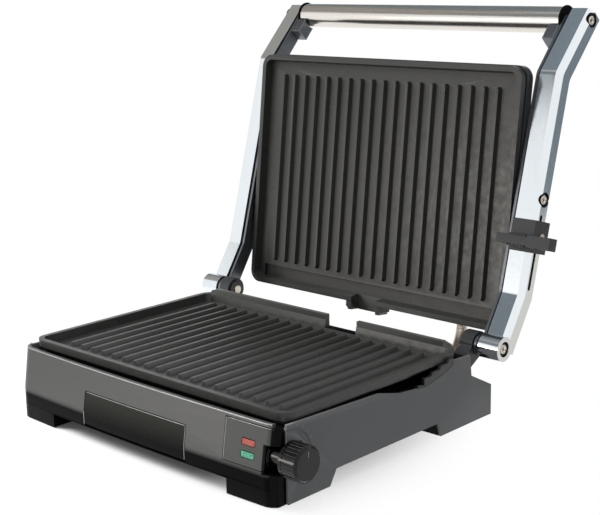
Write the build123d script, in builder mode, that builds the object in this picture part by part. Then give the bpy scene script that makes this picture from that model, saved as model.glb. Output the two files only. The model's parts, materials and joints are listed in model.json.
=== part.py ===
"""Panini press: a base with the lower grill plate, and an upper plate floating between kinked arms.

Axes: +X to the right, +Y to the rear, +Z up, in millimetres.  The press is drawn standing open.
While it is drawn, X = 0 is the middle of the grill field and Z = 0 is the table.
"""
from build123d import *
from math import atan2, cos, degrees, radians, sin, sqrt, tan
import os

os.makedirs("parts", exist_ok=True)

# ---------------------------------------------------------------- driving dimensions
# clearances
seat_gap = 0.2
bore_gap = 0.05
panel_reveal = 0.4

# base body
base_margin = 3.5
base_front = -124.5
base_rear = 126.0
base_bow = 2.5
corner_radius = 12.0
panel_wall = 2.0
foot_height = 12.0
foot_slant = 7.0
foot_width = 47.5
front_foot_end = -69.5
rear_foot_start = 59.0
rear_wall_height = 26.0
rear_slope_y = 99.0
rear_slope_z = 40.0
deck_z = 54.0
pad_radius = 8.0
pad_height = 2.4
pad_reveal = 0.6
pad_inset = 22.0

# top edge of the side panels, from front to rear
panel_front_z = 58.6
dip_start_y = -15.0
dip_start_z = 55.1
dip_end_y = 9.0
dip_end_z = 49.0
valley_y = 41.0
valley_z = 46.0
step_y = 63.0
step_z = 50.6
post_front_y = 76.0
post_z = 58.5

# fascia
crease_z = 25.0
fascia_top_z = 59.0
fascia_bottom_z = 13.0
fascia_lean = 5.5
fascia_wall = 3.0
fascia_end_inset = 7.5

# inside of the base
element_bay_margin = 17.0
element_bay_front = -98.0
element_bay_rear = 74.0
element_bay_floor = 43.4
tray_side_wall = 5.5
side_bay_wall = 8.5
side_bay_front = -104.0
side_bay_rear = 108.0
side_bay_top = 40.6
side_bay_rear_y = 70.0
cover_reveal = 2.0
cover_front = -108.0
cover_rear = 114.0
cover_wall = 1.5

# control panel, lamps and thermostat
panel_width = 43.0
panel_bottom_z = 25.4
panel_top_z = 55.8
lamp_inset = 17.0
lamp_width = 12.0
lamp_height = 4.2
red_lamp_z = 42.4
green_lamp_z = 33.6
board_wall = 1.6
board_y = -115.0
board_margin = 4.0
board_bottom = 26.5
board_top = 47.5
control_bay_wall = 2.0
spindle_wall = 3.0
control_bay_front = -119.4
control_bay_floor = 16.0
control_bay_top = 50.0
thermostat_width = 24.0
thermostat_gap = 5.0
thermostat_front = -112.6
thermostat_rear = -100.0
thermostat_low = 22.0
thermostat_high = 45.0

# knob
knob_y = -109.5
knob_z = 33.6
knob_radius = 13.4
knob_gap = 0.7
knob_length = 16.3
knob_flutes = 30
knob_flute_radius = 0.7
knob_bevel = 1.8
knob_rim_length = 2.4
spindle_radius = 3.0
spindle_seat = 7.0
sleeve_over_spindle = 0.9
collar_radius = 9.0
collar_flange = 1.0
collar_flange_step = 1.2
collar_gap = 0.8
notch_depth = 13.5
notch_low_z = 23.0
notch_high_z = 44.0
notch_rear_y = -98.0
scale_radius = 20.5
scale_width = 0.9
scale_depth = 0.5
scale_start = -12.0
scale_end = 80.0

# drip tray
tray_half = 58.5
tray_low_z = 14.0
tray_high_z = 40.2
tray_wall = 1.8
tray_rear_y = 95.0
tray_rim_drop = 4.0

# grill plates
plate_half = 145.0
plate_corner = 11.0
plate_front_y = -109.6
plate_rear_y = 88.0
rim_top_z = 64.0
rim_width = 4.5
rim_height = 6.0
field_drop = 7.0
field_wall = 2.6
skirt_inset = 4.5
back_wall = 4.0
back_wall_rise = 4.6
back_wall_inset = 14.0
ridge_count = 19
ridge_side_margin = 25.12
ridge_width = 5.4
ridge_crest = 2.4
ridge_height = 3.4
ridge_front_inset = 18.6
ridge_rear_inset = 14.0
drain_x = 24.0
drain_half = 17.0

# hinge and arms, in the YZ plane
hinge_y = 112.5
hinge_z = 62.5
arm_foot = (117.7, 59.1)
arm_low_kink = (143.2, 98.0)
arm_high_kink = (191.9, 270.0)
arm_tip = (236.0, 316.5)
spacer_length = 2.0
spacer_wall = 2.5
arm_width = 19.0
arm_half_depth = 7.8
arm_bend_radius = 10.0
arm_chamfer = 4.6
arm_edge = 0.8
boss_radius = 10.0
hinge_pin_radius = 4.0
screw_recess_radius = 6.2
screw_recess_depth = 2.6
screw_head_radius = 5.8
screw_head_length = 2.0
socket_radius = 2.2
socket_depth = 1.4
lug_width = 12.0
lug_radius = 10.4
lug_web_inset = 0.5
lug_web_drop = 1.0
lug_web_gap = 5.0
washer_radius = 8.0
washer_length = 2.0
strap_clearance = 0.8
strap_wall = 2.2
strap_half_depth = 6.6

# handle
tube_y = 230.5
tube_z = 312.0
tube_radius = 11.0
tube_wall = 1.2
ring_radius = 12.2
ring_wall = 1.8
plug_length = 12.0
handle_pin_radius = 3.0
bracket_width = 10.4
bracket_length = 25.0
bracket_half_depth = 7.0

# upper plate, hanging from the pivots in the arms
pivot_along_arm = 79.3
pivot_side = -0.9
pivot_radius = 2.5
bush_radius = 3.6
bush_length = 4.8
plate_lean = 6.87
face_offset = 9.6
edge_below_pivot = 111.9
upper_length = 216.0
upper_ridge_low = 22.0
upper_ridge_high = 199.0
trough_low = 6.0
trough_high = 17.5
trough_drop = 3.2
spout_x = -2.5
spout_half = 20.5
spout_channel_half = 14.0
spout_reach = 7.6
spout_depth = 12.0
housing_overhang = 1.0
housing_margin = 1.0
housing_front_w = -7.0
housing_side_w = -15.0
housing_back_w = -38.0
housing_back_inset = 22.0
housing_corner = 11.0
housing_shell = 2.6
cover_sheet = 1.2
cover_inset = 8.0

# heating elements and their reflectors
element_radius = 3.2
element_margin = 41.0
element_front_y = -80.0
element_rear_y = 58.0
element_bend = 20.0
element_gap = 0.3
reflector_wall = 0.8
reflector_margin = 4.0
reflector_lip = 4.0

# height stop on the right arm, measured along the middle of the arm
slot_half = 1.7
slot_low = 6.0
slot_high = 67.0
sleeve_low = 36.0
sleeve_high = 62.0
sleeve_wall = 2.4
sleeve_pin_radius = 1.5
sleeve_play = 0.3
bar_overhang = 4.0
bar_reach = 27.5
bar_low = 40.5
bar_high = 48.0
bar_back_w = 16.4
bar_front_w = 24.4
grip_length = 21.5
grip_half_rise = 5.0
keeper_length = 1.2
keeper_radius = 3.4

# height rack on the base, beside the lower plate
rack_clearance = 0.5
rack_nose_y = 31.0
rack_root_z = 47.6
rack_first_y = 38.6
rack_first_z = 52.6
rack_steps = 4
rack_pitch = 10.4
rack_rise = 2.6
rack_riser_run = 2.0

# conduit from the base to the upper plate
conduit_radius = 4.6
bend_share = 0.45
conduit_inset = 24.0
conduit_y = 115.0
conduit_low_z = 27.0
conduit_turn_step = (-3.0, 6.5, 12.0)
conduit_last_run = 12.5
conduit_top_step = -11.0
conduit_entry_w = -11.0
gland_radius = 8.8
gland_low_z = 16.0
gland_high_z = 29.0
gland_bore = 6.6
cord_gland_x = -82.0
cord_gland_z = 19.5
cord_gland_radius = 6.0
cord_bore_radius = 3.6
cord_gland_end = 130.0
terminal_width = 34.0
terminal_depth = 16.0
terminal_height = 14.0

# ---------------------------------------------------------------- derived sizes
# across the press, outward from the grill plates
housing_half = plate_half + housing_overhang
base_half_width = plate_half + base_margin
core_half = base_half_width - panel_wall - seat_gap
lug_outer = housing_half
lug_inner = lug_outer - lug_width
strap_inner = housing_half + strap_clearance
arm_inner = strap_inner + strap_wall + spacer_length
arm_outer = arm_inner + arm_width
tube_half = strap_inner - ring_wall - 2 * seat_gap
bracket_outer = strap_inner - 2 * seat_gap
bracket_inner = bracket_outer - bracket_width
bar_left_x = arm_inner - bar_overhang
bar_right_x = arm_outer + bar_reach
grip_left_x = bar_right_x - grip_length
rack_inner = plate_half + rack_clearance
rack_outer = base_half_width - seat_gap
back_wall_half = plate_half - back_wall_inset
ridge_pitch = 2 * (plate_half - ridge_side_margin) / (ridge_count - 1)
element_half = plate_half - element_margin
element_bay_half = plate_half - element_bay_margin
reflector_half = element_bay_half - reflector_margin
# across the base
foot_inner = base_half_width - foot_width
cover_half = foot_inner - cover_reveal
side_bay_inner = tray_half + tray_side_wall
side_bay_outer = base_half_width - side_bay_wall
fascia_end_x = base_half_width - fascia_end_inset
panel_left_x = fascia_end_x - panel_width
lamp_left_x = panel_left_x + lamp_inset
notch_left_x = base_half_width - notch_depth
control_bay_left = panel_left_x + control_bay_wall
control_bay_right = notch_left_x - spindle_wall
thermostat_right = control_bay_right - thermostat_gap
thermostat_left = thermostat_right - thermostat_width
spindle_start_x = thermostat_right - spindle_seat
knob_start_x = base_half_width + knob_gap
knob_end_x = knob_start_x + knob_length
collar_start_x = notch_left_x + collar_flange
collar_end_x = knob_start_x - collar_gap
conduit_x = lug_inner - conduit_inset
conduit_top_x = conduit_x + conduit_top_step
# heights and depths
field_z = rim_top_z - field_drop
rim_low_z = rim_top_z - rim_height
hinge = (hinge_y, hinge_z)
tube_centre = (tube_y, tube_z)
cover_low_z = foot_height
cover_top_z = foot_height + cover_wall
bay_floor_z = cover_top_z + seat_gap
far = 400.0


def towards(start, end, distance, side=0.0):
    """Point in the YZ plane: a distance from start towards end, and a step to the front of it."""
    dy = end[0] - start[0]
    dz = end[1] - start[1]
    length = sqrt(dy * dy + dz * dz)
    y = start[0] + (dy * distance - dz * side) / length
    z = start[1] + (dz * distance + dy * side) / length
    return (y, z)


def side_plane(x):
    """Plane facing +X that is drawn in Y and Z."""
    return Plane(origin=(x, 0, 0), x_dir=(0, 1, 0), z_dir=(1, 0, 0))


def block(x0, x1, y0, y1, z0, z1):
    """Loose box between two corners, for cutting and for cutting out."""
    solid = Box(x1 - x0, y1 - y0, z1 - z0, align=(Align.MIN, Align.MIN, Align.MIN), mode=Mode.PRIVATE)
    return solid.moved(Location((x0, y0, z0)))


def rod(x0, x1, centre, radius):
    """Loose round bar along X, for pins, bores and bosses."""
    solid = Cylinder(
        radius,
        x1 - x0,
        rotation=(0, 90, 0),
        align=(Align.CENTER, Align.CENTER, Align.CENTER),
        mode=Mode.PRIVATE,
    )
    return solid.moved(Location(((x0 + x1) / 2, centre[0], centre[1])))


def band(points, half, bend, front_half=None):
    """Outline of a bent flat bar of even depth that follows a line of points in the YZ plane."""
    front = half if front_half is None else front_half
    front_edge = []
    rear_edge = []
    last = len(points) - 1
    for index, point in enumerate(points):
        low = points[max(index - 1, 0)]
        high = points[min(index + 1, last)]
        behind = atan2(point[1] - low[1], point[0] - low[0])
        ahead = atan2(high[1] - point[1], high[0] - point[0])
        if index == 0:
            behind = ahead
        if index == last:
            ahead = behind
        middle = (ahead + behind) / 2
        mitre = cos((ahead - behind) / 2)
        across = (-sin(middle) / mitre, cos(middle) / mitre)
        front_edge.append((point[0] + front * across[0], point[1] + front * across[1]))
        rear_edge.append((point[0] - half * across[0], point[1] - half * across[1]))
    with BuildSketch() as outline:
        with BuildLine():
            if len(points) > 2:
                FilletPolyline(*front_edge, radius=bend)
                FilletPolyline(*rear_edge, radius=bend)
            else:
                Line(front_edge[0], front_edge[1])
                Line(rear_edge[0], rear_edge[1])
            Line(front_edge[0], rear_edge[0])
            Line(front_edge[-1], rear_edge[-1])
        make_face()
    return outline.sketch


pivot = towards(arm_low_kink, arm_high_kink, pivot_along_arm, pivot_side)
arm_lean = degrees(
    atan2(arm_high_kink[0] - arm_low_kink[0], arm_high_kink[1] - arm_low_kink[1])
)
arm_plane = Plane(
    origin=(0, arm_low_kink[0], arm_low_kink[1]),
    x_dir=(1, 0, 0),
    z_dir=(0, -cos(radians(arm_lean)), sin(radians(arm_lean))),
)
slot_plane = Plane(origin=arm_plane.origin, x_dir=arm_plane.y_dir, z_dir=(1, 0, 0))
pivot_plane = Plane(
    origin=(0, pivot[0], pivot[1]),
    x_dir=(1, 0, 0),
    z_dir=(0, -cos(radians(plate_lean)), sin(radians(plate_lean))),
)
# plane of the upper rim: X across, Y up the plate from its hinge side, Z out of the grill face
face_origin = pivot_plane.from_local_coords((0, -edge_below_pivot, face_offset))
face_plane = Plane(origin=face_origin, x_dir=(1, 0, 0), z_dir=pivot_plane.z_dir)

finished = {}


def keep(name, builder):
    """Collect a finished piece under the name of its node."""
    finished[name] = builder.part


# ---------------------------------------------------------------- front of the base
def front_plan(inset, lean):
    """Plan of the front of the base: a slightly bowed front edge between rounded corners."""
    half = base_half_width - inset
    front = base_front + inset + lean
    radius = corner_radius - inset
    turn = half - radius
    diagonal = radius * (1 - cos(radians(45)))
    with BuildSketch(Plane.XY) as plan:
        with BuildLine():
            ThreePointArc((-turn, front), (0, front - base_bow), (turn, front))
            ThreePointArc(
                (turn, front), (half - diagonal, front + diagonal), (half, front + radius)
            )
            Line((half, front + radius), (half, base_rear))
            Line((half, base_rear), (-half, base_rear))
            Line((-half, base_rear), (-half, front + radius))
            ThreePointArc(
                (-half, front + radius), (diagonal - half, front + diagonal), (-turn, front)
            )
        make_face()
    return plan.sketch


def front_blank(inset):
    """Solid behind the front surface: upright below the crease and leaning back above it."""
    with BuildPart() as blank:
        with BuildSketch(Plane.XY):
            add(front_plan(inset, 0))
        extrude(amount=crease_z)
        with BuildSketch(Plane.XY.offset(crease_z)):
            add(front_plan(inset, 0))
        with BuildSketch(Plane.XY.offset(fascia_top_z)):
            add(front_plan(inset, fascia_lean))
        loft()
    return blank.part


outer_front = front_blank(0)
inner_front = front_blank(fascia_wall)
core_front = front_blank(fascia_wall + seat_gap)
knob_pocket = block(notch_left_x, far, -far, notch_rear_y, notch_low_z, notch_high_z)

# ---------------------------------------------------------------- base housing
foot_front_y = base_front + corner_radius
with BuildPart() as base_housing:
    with BuildSketch(Plane.YZ.offset(-core_half)):
        with BuildLine():
            Polyline(
                (base_front - base_bow, foot_height),
                (front_foot_end, foot_height),
                (rear_foot_start, foot_height),
                (base_rear, foot_height),
                (base_rear, rear_wall_height),
                (rear_slope_y, rear_slope_z),
                (rear_slope_y, deck_z),
                (post_front_y, deck_z),
                (step_y, step_z - seat_gap),
                (valley_y, valley_z - seat_gap),
                (dip_end_y, dip_end_z - seat_gap),
                (dip_start_y, deck_z),
                (base_front - base_bow, deck_z),
                close=True,
            )
        make_face()
    extrude(amount=2 * core_half)
    # four feet
    with BuildSketch(Plane.YZ.offset(-core_half)):
        with BuildLine():
            Polyline(
                (base_front - base_bow, pad_reveal),
                (front_foot_end, pad_reveal),
                (front_foot_end + foot_slant, foot_height),
                (base_front - base_bow, foot_height),
                close=True,
            )
        make_face()
        with BuildLine():
            Polyline(
                (rear_foot_start, pad_reveal),
                (base_rear, pad_reveal),
                (base_rear, foot_height),
                (rear_foot_start - foot_slant / 2, foot_height),
                close=True,
            )
        make_face()
    extrude(amount=2 * core_half)
    add(
        block(-foot_inner, foot_inner, -far, far, -far, foot_height),
        mode=Mode.SUBTRACT,
    )
    # front: the wall behind the fascia, and the full outline below it and at the knob
    full_front = outer_front - block(
        -far, fascia_end_x + seat_gap, -far, far, fascia_bottom_z - seat_gap, far
    )
    add(core_front + full_front, mode=Mode.INTERSECT)
    # bays
    add(
        block(
            -element_bay_half,
            element_bay_half,
            element_bay_front,
            element_bay_rear,
            element_bay_floor,
            far,
        ),
        mode=Mode.SUBTRACT,
    )
    tray_bay_half = tray_half + panel_reveal
    add(
        block(
            -tray_bay_half,
            tray_bay_half,
            -far,
            tray_rear_y + 1.5,
            cover_top_z,
            tray_high_z + panel_reveal,
        ),
        mode=Mode.SUBTRACT,
    )
    for side in (-1, 1):
        x_low = min(side * side_bay_inner, side * side_bay_outer)
        x_high = max(side * side_bay_inner, side * side_bay_outer)
        add(
            block(x_low, x_high, side_bay_front, side_bay_rear_y, bay_floor_z, side_bay_top),
            mode=Mode.SUBTRACT,
        )
        x_edge = min(side * side_bay_inner, side * (cover_half - cover_wall))
        x_far = max(side * side_bay_inner, side * (cover_half - cover_wall))
        add(
            block(x_edge, x_far, side_bay_front, side_bay_rear, cover_low_z, rear_wall_height - 2),
            mode=Mode.SUBTRACT,
        )
    add(
        block(
            -cover_half - seat_gap,
            cover_half + seat_gap,
            cover_front - seat_gap,
            cover_rear + seat_gap,
            -far,
            cover_top_z + seat_gap,
        ),
        mode=Mode.SUBTRACT,
    )
    add(
        block(
            control_bay_left,
            control_bay_right,
            control_bay_front,
            side_bay_front + 6,
            control_bay_floor,
            control_bay_top,
        ),
        mode=Mode.SUBTRACT,
    )
    add(
        block(
            lamp_left_x - 1,
            lamp_left_x + lamp_width + 1,
            -far,
            control_bay_front + 1,
            green_lamp_z - lamp_height,
            red_lamp_z + lamp_height,
        ),
        mode=Mode.SUBTRACT,
    )
    # drain slot from the deck down to the tray
    add(
        block(
            drain_x - drain_half + 2,
            drain_x + drain_half - 2,
            plate_rear_y - 3,
            tray_rear_y - 0.8,
            tray_high_z,
            far,
        ),
        mode=Mode.SUBTRACT,
    )
    # knob pocket and spindle bore
    add(knob_pocket, mode=Mode.SUBTRACT)
    add(
        rod(thermostat_right, notch_left_x + 1, (knob_y, knob_z), spindle_radius + 1),
        mode=Mode.SUBTRACT,
    )
    # seats for the conduit gland, the cord gland and the foot pads
    with Locations((conduit_x, conduit_y, gland_low_z)):
        Cylinder(
            gland_radius,
            far / 4,
            align=(Align.CENTER, Align.CENTER, Align.MIN),
            mode=Mode.SUBTRACT,
        )
    with Locations((cord_gland_x, side_bay_rear - 1, cord_gland_z)):
        Cylinder(
            cord_gland_radius - 1.5,
            far / 4,
            rotation=(-90, 0, 0),
            align=(Align.CENTER, Align.CENTER, Align.MIN),
            mode=Mode.SUBTRACT,
        )
    for side in (-1, 1):
        for pad_y in (foot_front_y + pad_radius, base_rear - pad_inset):
            with Locations((side * (base_half_width - pad_inset), pad_y, 0)):
                Cylinder(
                    pad_radius + seat_gap,
                    pad_height + seat_gap,
                    align=(Align.CENTER, Align.CENTER, Align.MIN),
                    mode=Mode.SUBTRACT,
                )
keep("base_housing", base_housing)

with BuildPart() as rubber_feet:
    for side in (-1, 1):
        for pad_y in (foot_front_y + pad_radius, base_rear - pad_inset):
            with Locations((side * (base_half_width - pad_inset), pad_y, 0)):
                Cylinder(pad_radius, pad_height, align=(Align.CENTER, Align.CENTER, Align.MIN))
keep("rubber_feet", rubber_feet)

with BuildPart() as bottom_cover:
    with BuildSketch(Plane.XY.offset(cover_low_z)):
        with Locations((0, (cover_front + cover_rear) / 2)):
            RectangleRounded(2 * cover_half, cover_rear - cover_front, corner_radius / 4)
        with Locations((0, 0)):
            with GridLocations(corner_radius, far, 9, 1):
                SlotOverall(foot_height * 3, 2.5, rotation=90, mode=Mode.SUBTRACT)
    extrude(amount=cover_wall)
keep("bottom_cover", bottom_cover)

# ---------------------------------------------------------------- side panels
def side_panel(side):
    """Thin side panel: the whole side outline with both feet, the dip and the hinge post."""
    inner = side * (base_half_width - panel_wall)
    with BuildPart() as panel:
        with BuildSketch(side_plane(min(inner, side * base_half_width))):
            with BuildLine():
                Polyline(
                    (foot_front_y + seat_gap, pad_reveal),
                    (front_foot_end, pad_reveal),
                    (front_foot_end + foot_slant, foot_height),
                    (rear_foot_start - foot_slant / 2, foot_height),
                    (rear_foot_start, pad_reveal),
                    (base_rear, pad_reveal),
                    (base_rear, rear_wall_height),
                    (rear_slope_y, rear_slope_z),
                    (rear_slope_y - panel_wall, post_z - panel_wall / 2),
                    (post_front_y, post_z),
                    (post_front_y - panel_wall, dip_start_z),
                    (step_y, step_z),
                    (valley_y, valley_z),
                    (dip_end_y, dip_end_z),
                    (dip_start_y, dip_start_z),
                    (foot_front_y + seat_gap, panel_front_z),
                    close=True,
                )
            make_face()
        extrude(amount=panel_wall)
    return panel


left_side_panel = side_panel(-1)
keep("left_side_panel", left_side_panel)

right_blank = side_panel(1)
with BuildPart() as right_side_panel:
    add(right_blank.part)
    add(knob_pocket, mode=Mode.SUBTRACT)
    # engraved arc of the temperature scale, round the knob
    with BuildSketch(side_plane(base_half_width - scale_depth)):
        with Locations((knob_y, knob_z)):
            Circle(scale_radius + scale_width / 2)
            Circle(scale_radius - scale_width / 2, mode=Mode.SUBTRACT)
        with BuildLine():
            Polyline(
                (knob_y, knob_z),
                (
                    knob_y + 3 * scale_radius * sin(radians(scale_start)),
                    knob_z + 3 * scale_radius * cos(radians(scale_start)),
                ),
                (knob_y + 3 * scale_radius, knob_z + 3 * scale_radius),
                (
                    knob_y + 3 * scale_radius * sin(radians(scale_end)),
                    knob_z + 3 * scale_radius * cos(radians(scale_end)),
                ),
                close=True,
            )
        make_face(mode=Mode.INTERSECT)
    extrude(amount=scale_depth, mode=Mode.SUBTRACT)
keep("right_side_panel", right_side_panel)

# ---------------------------------------------------------------- fascia, control panel, lamps
fascia_region = block(
    -far, fascia_end_x, -far, foot_front_y - seat_gap, fascia_bottom_z, far
)
panel_region = block(
    panel_left_x, fascia_end_x - panel_reveal, -far, foot_front_y, panel_bottom_z, panel_top_z
)

with BuildPart() as front_fascia:
    add((outer_front - inner_front) & fascia_region)
    add(
        block(
            panel_left_x - panel_reveal,
            far,
            -far,
            foot_front_y,
            panel_bottom_z - panel_reveal,
            panel_top_z + panel_reveal,
        ),
        mode=Mode.SUBTRACT,
    )
    add(
        block(
            -tray_half - panel_reveal,
            tray_half + panel_reveal,
            -far,
            foot_front_y,
            0,
            tray_high_z + panel_reveal,
        ),
        mode=Mode.SUBTRACT,
    )
    add(knob_pocket, mode=Mode.SUBTRACT)
keep("front_fascia", front_fascia)

lamp_places = {"red_lamp_lens": red_lamp_z, "green_lamp_lens": green_lamp_z}
with BuildPart() as control_panel:
    add((outer_front - inner_front) & panel_region)
    add(knob_pocket, mode=Mode.SUBTRACT)
    for lamp_z in lamp_places.values():
        add(
            block(
                lamp_left_x - seat_gap,
                lamp_left_x + lamp_width + seat_gap,
                -far,
                foot_front_y,
                lamp_z - lamp_height / 2 - seat_gap,
                lamp_z + lamp_height / 2 + seat_gap,
            ),
            mode=Mode.SUBTRACT,
        )
keep("control_panel", control_panel)

for lamp_name, lamp_z in lamp_places.items():
    with BuildPart() as lamp_lens:
        add(
            outer_front
            & block(
                lamp_left_x,
                lamp_left_x + lamp_width,
                -far,
                board_y - board_wall - seat_gap,
                lamp_z - lamp_height / 2,
                lamp_z + lamp_height / 2,
            )
        )
    keep(lamp_name, lamp_lens)

with BuildPart() as indicator_board:
    add(
        block(
            lamp_left_x - board_margin,
            lamp_left_x + lamp_width + board_margin,
            board_y - board_wall,
            board_y,
            board_bottom,
            board_top,
        )
    )
    with Locations((lamp_left_x + lamp_width / 2, board_y, board_bottom + 6)):
        Box(8, 2, 5, align=(Align.CENTER, Align.MIN, Align.CENTER))
keep("indicator_board", indicator_board)

# ---------------------------------------------------------------- thermostat, collar and knob
knob_axis = (knob_y, knob_z)
with BuildPart() as thermostat:
    add(
        block(
            thermostat_left,
            thermostat_right,
            thermostat_front,
            thermostat_rear,
            thermostat_low,
            thermostat_high,
        )
    )
    add(rod(thermostat_right, notch_left_x, knob_axis, spindle_radius + sleeve_over_spindle))
    add(rod(spindle_start_x, far, knob_axis, spindle_radius + bore_gap), mode=Mode.SUBTRACT)
keep("thermostat", thermostat)

with BuildPart() as knob_collar:
    add(rod(collar_start_x, collar_end_x, knob_axis, collar_radius))
    add(rod(notch_left_x + seat_gap, collar_start_x, knob_axis, collar_radius + collar_flange_step))
    add(rod(0, far, knob_axis, spindle_radius + 2 * bore_gap), mode=Mode.SUBTRACT)
keep("knob_collar", knob_collar)

with BuildPart() as temperature_knob:
    with BuildSketch(side_plane(knob_start_x + knob_rim_length)):
        with Locations(knob_axis):
            Circle(knob_radius)
            with PolarLocations(knob_radius + knob_flute_radius / 3, knob_flutes):
                Circle(knob_flute_radius, mode=Mode.SUBTRACT)
    extrude(amount=knob_end_x - knob_start_x - knob_rim_length - knob_bevel)
    with BuildSketch(side_plane(knob_end_x - knob_bevel)):
        with Locations(knob_axis):
            Circle(knob_radius - knob_flute_radius)
    extrude(amount=knob_bevel, taper=40)
    add(rod(knob_start_x, knob_start_x + knob_rim_length, knob_axis, knob_radius))
    add(
        rod(knob_start_x, knob_start_x + knob_bevel, knob_axis, collar_radius + 1),
        mode=Mode.SUBTRACT,
    )
    # spindle with its flat
    add(rod(spindle_start_x + seat_gap, knob_start_x + knob_bevel, knob_axis, spindle_radius))
keep("temperature_knob", temperature_knob)

# ---------------------------------------------------------------- drip tray
with BuildPart() as drip_tray_front:
    add(
        (outer_front - inner_front)
        & block(-tray_half, tray_half, -far, foot_front_y, tray_low_z, tray_high_z)
    )
keep("drip_tray_front", drip_tray_front)

tray_body_half = tray_half - panel_reveal
tray_body_low = bay_floor_z + seat_gap
tray_body_high = tray_high_z - tray_rim_drop
tray_front_y = base_front + fascia_wall + fascia_lean + tray_wall
with BuildPart() as drip_tray:
    add(
        core_front
        & block(-tray_body_half, tray_body_half, -far, tray_rear_y, tray_body_low, tray_body_high)
    )
    with BuildSketch(Plane.XY.offset(tray_body_low + tray_wall)):
        with Locations((0, (tray_front_y + tray_rear_y - tray_wall) / 2)):
            RectangleRounded(
                2 * (tray_body_half - tray_wall),
                tray_rear_y - tray_wall - tray_front_y,
                corner_radius / 2,
            )
    extrude(amount=far / 4, mode=Mode.SUBTRACT)
keep("drip_tray", drip_tray)

# ---------------------------------------------------------------- grill plates
def plate_outline(half, low, high, corner):
    """Rounded rectangle across X, from low to high in the other direction."""
    with BuildSketch() as outline:
        with Locations((0, (low + high) / 2)):
            RectangleRounded(2 * half, high - low, corner)
    return outline.sketch


def ridge_places():
    """Middles of the ridges across the field."""
    first = -ridge_pitch * (ridge_count - 1) / 2
    return [first + ridge_pitch * index for index in range(ridge_count)]


def ridges(base, low, high):
    """Tapered ridges with rounded ends, side by side on the plane of the field."""
    with BuildPart() as rows:
        with BuildSketch(base):
            for x in ridge_places():
                with Locations((x, (low + high) / 2)):
                    SlotOverall(high - low, ridge_width, rotation=90)
        extrude(amount=ridge_height, taper=degrees(atan2(ridge_width - ridge_crest, 2 * ridge_height)))
    return rows.part


lower_plane = Plane.XY.offset(rim_top_z)
with BuildPart() as lower_grill_plate:
    with BuildSketch(lower_plane):
        add(plate_outline(plate_half, plate_front_y, plate_rear_y, plate_corner))
    extrude(amount=-rim_height)
    with BuildSketch(Plane.XY.offset(rim_low_z)):
        add(
            plate_outline(
                plate_half - skirt_inset,
                plate_front_y + skirt_inset,
                plate_rear_y - skirt_inset,
                plate_corner - skirt_inset,
            )
        )
    extrude(amount=-(field_drop + field_wall - rim_height))
    with BuildSketch(lower_plane):
        add(
            plate_outline(
                plate_half - rim_width,
                plate_front_y + rim_width,
                plate_rear_y - rim_width,
                plate_corner - rim_width,
            )
        )
    extrude(amount=-field_drop, taper=12, mode=Mode.SUBTRACT)
    # raised wall along the rear
    add(
        block(
            -back_wall_half,
            back_wall_half,
            plate_rear_y - back_wall,
            plate_rear_y,
            rim_top_z,
            rim_top_z + back_wall_rise,
        )
    )
    add(
        ridges(
            Plane.XY.offset(field_z),
            plate_front_y + ridge_front_inset,
            plate_rear_y - ridge_rear_inset,
        )
    )
    # outlet for the fat through the rear wall, and its lip
    add(
        block(
            drain_x - drain_half,
            drain_x + drain_half,
            plate_rear_y - 2 * rim_width,
            plate_rear_y + 1,
            field_z,
            far,
        ),
        mode=Mode.SUBTRACT,
    )
keep("lower_grill_plate", lower_grill_plate)

with BuildPart() as upper_grill_plate:
    with BuildSketch(face_plane):
        add(plate_outline(plate_half, 0, upper_length, plate_corner))
    extrude(amount=-rim_height)
    with BuildSketch(face_plane.offset(-rim_height)):
        add(
            plate_outline(
                plate_half - skirt_inset,
                skirt_inset,
                upper_length - skirt_inset,
                plate_corner - skirt_inset,
            )
        )
    extrude(amount=-(field_drop + field_wall - rim_height))
    with BuildSketch(face_plane.offset(-field_drop)):
        with Locations((0, (trough_low + trough_high) / 2)):
            Rectangle(2 * (plate_half - 2 * rim_width), trough_high - trough_low + 2 * field_wall)
    extrude(amount=-(trough_drop + field_wall))
    # spout at the hinge side
    with BuildSketch(face_plane.offset(-1)):
        with Locations((spout_x, (trough_low - spout_reach) / 2)):
            Rectangle(2 * spout_half, trough_low + spout_reach)
        with Locations((spout_x, -spout_reach)):
            with Locations((-spout_half, 0), (spout_half, 0)):
                Circle(2.5, mode=Mode.SUBTRACT)
    extrude(amount=-spout_depth)
    with BuildSketch(face_plane):
        add(
            plate_outline(
                plate_half - rim_width,
                rim_width,
                upper_length - rim_width,
                plate_corner - rim_width,
            )
        )
    extrude(amount=-field_drop, taper=12, mode=Mode.SUBTRACT)
    with BuildSketch(face_plane):
        with Locations((0, (trough_low + trough_high) / 2)):
            Rectangle(2 * (plate_half - 2.5 * rim_width), trough_high - trough_low)
    extrude(amount=-(field_drop + trough_drop), mode=Mode.SUBTRACT)
    with BuildSketch(face_plane):
        with Locations((spout_x, 0)):
            Rectangle(2 * spout_channel_half, 3 * spout_reach)
    extrude(amount=-(field_drop + trough_drop), mode=Mode.SUBTRACT)
    ridge_plane = face_plane.offset(-field_drop)
    add(ridges(ridge_plane, upper_ridge_low, upper_ridge_high))
keep("upper_grill_plate", upper_grill_plate)

# ---------------------------------------------------------------- heating elements and reflectors
def element(base, low, high):
    """Sheathed element bent into a U, lying in a plane, with both ends at the low side."""
    half = element_half
    bend = element_bend
    with BuildPart() as tube:
        with BuildLine(base) as path:
            FilletPolyline((-half, low), (-half, high), (half, high), (half, low), radius=bend)
        start = base.from_local_coords((-half, low, 0))
        with BuildSketch(Plane(origin=start, x_dir=base.x_dir, z_dir=base.y_dir)):
            Circle(element_radius)
        sweep()
    return tube


plate_under_z = field_z - field_wall
lower_heating_element = element(
    Plane.XY.offset(plate_under_z - element_radius - element_gap), element_front_y, element_rear_y
)
keep("lower_heating_element", lower_heating_element)

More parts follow.
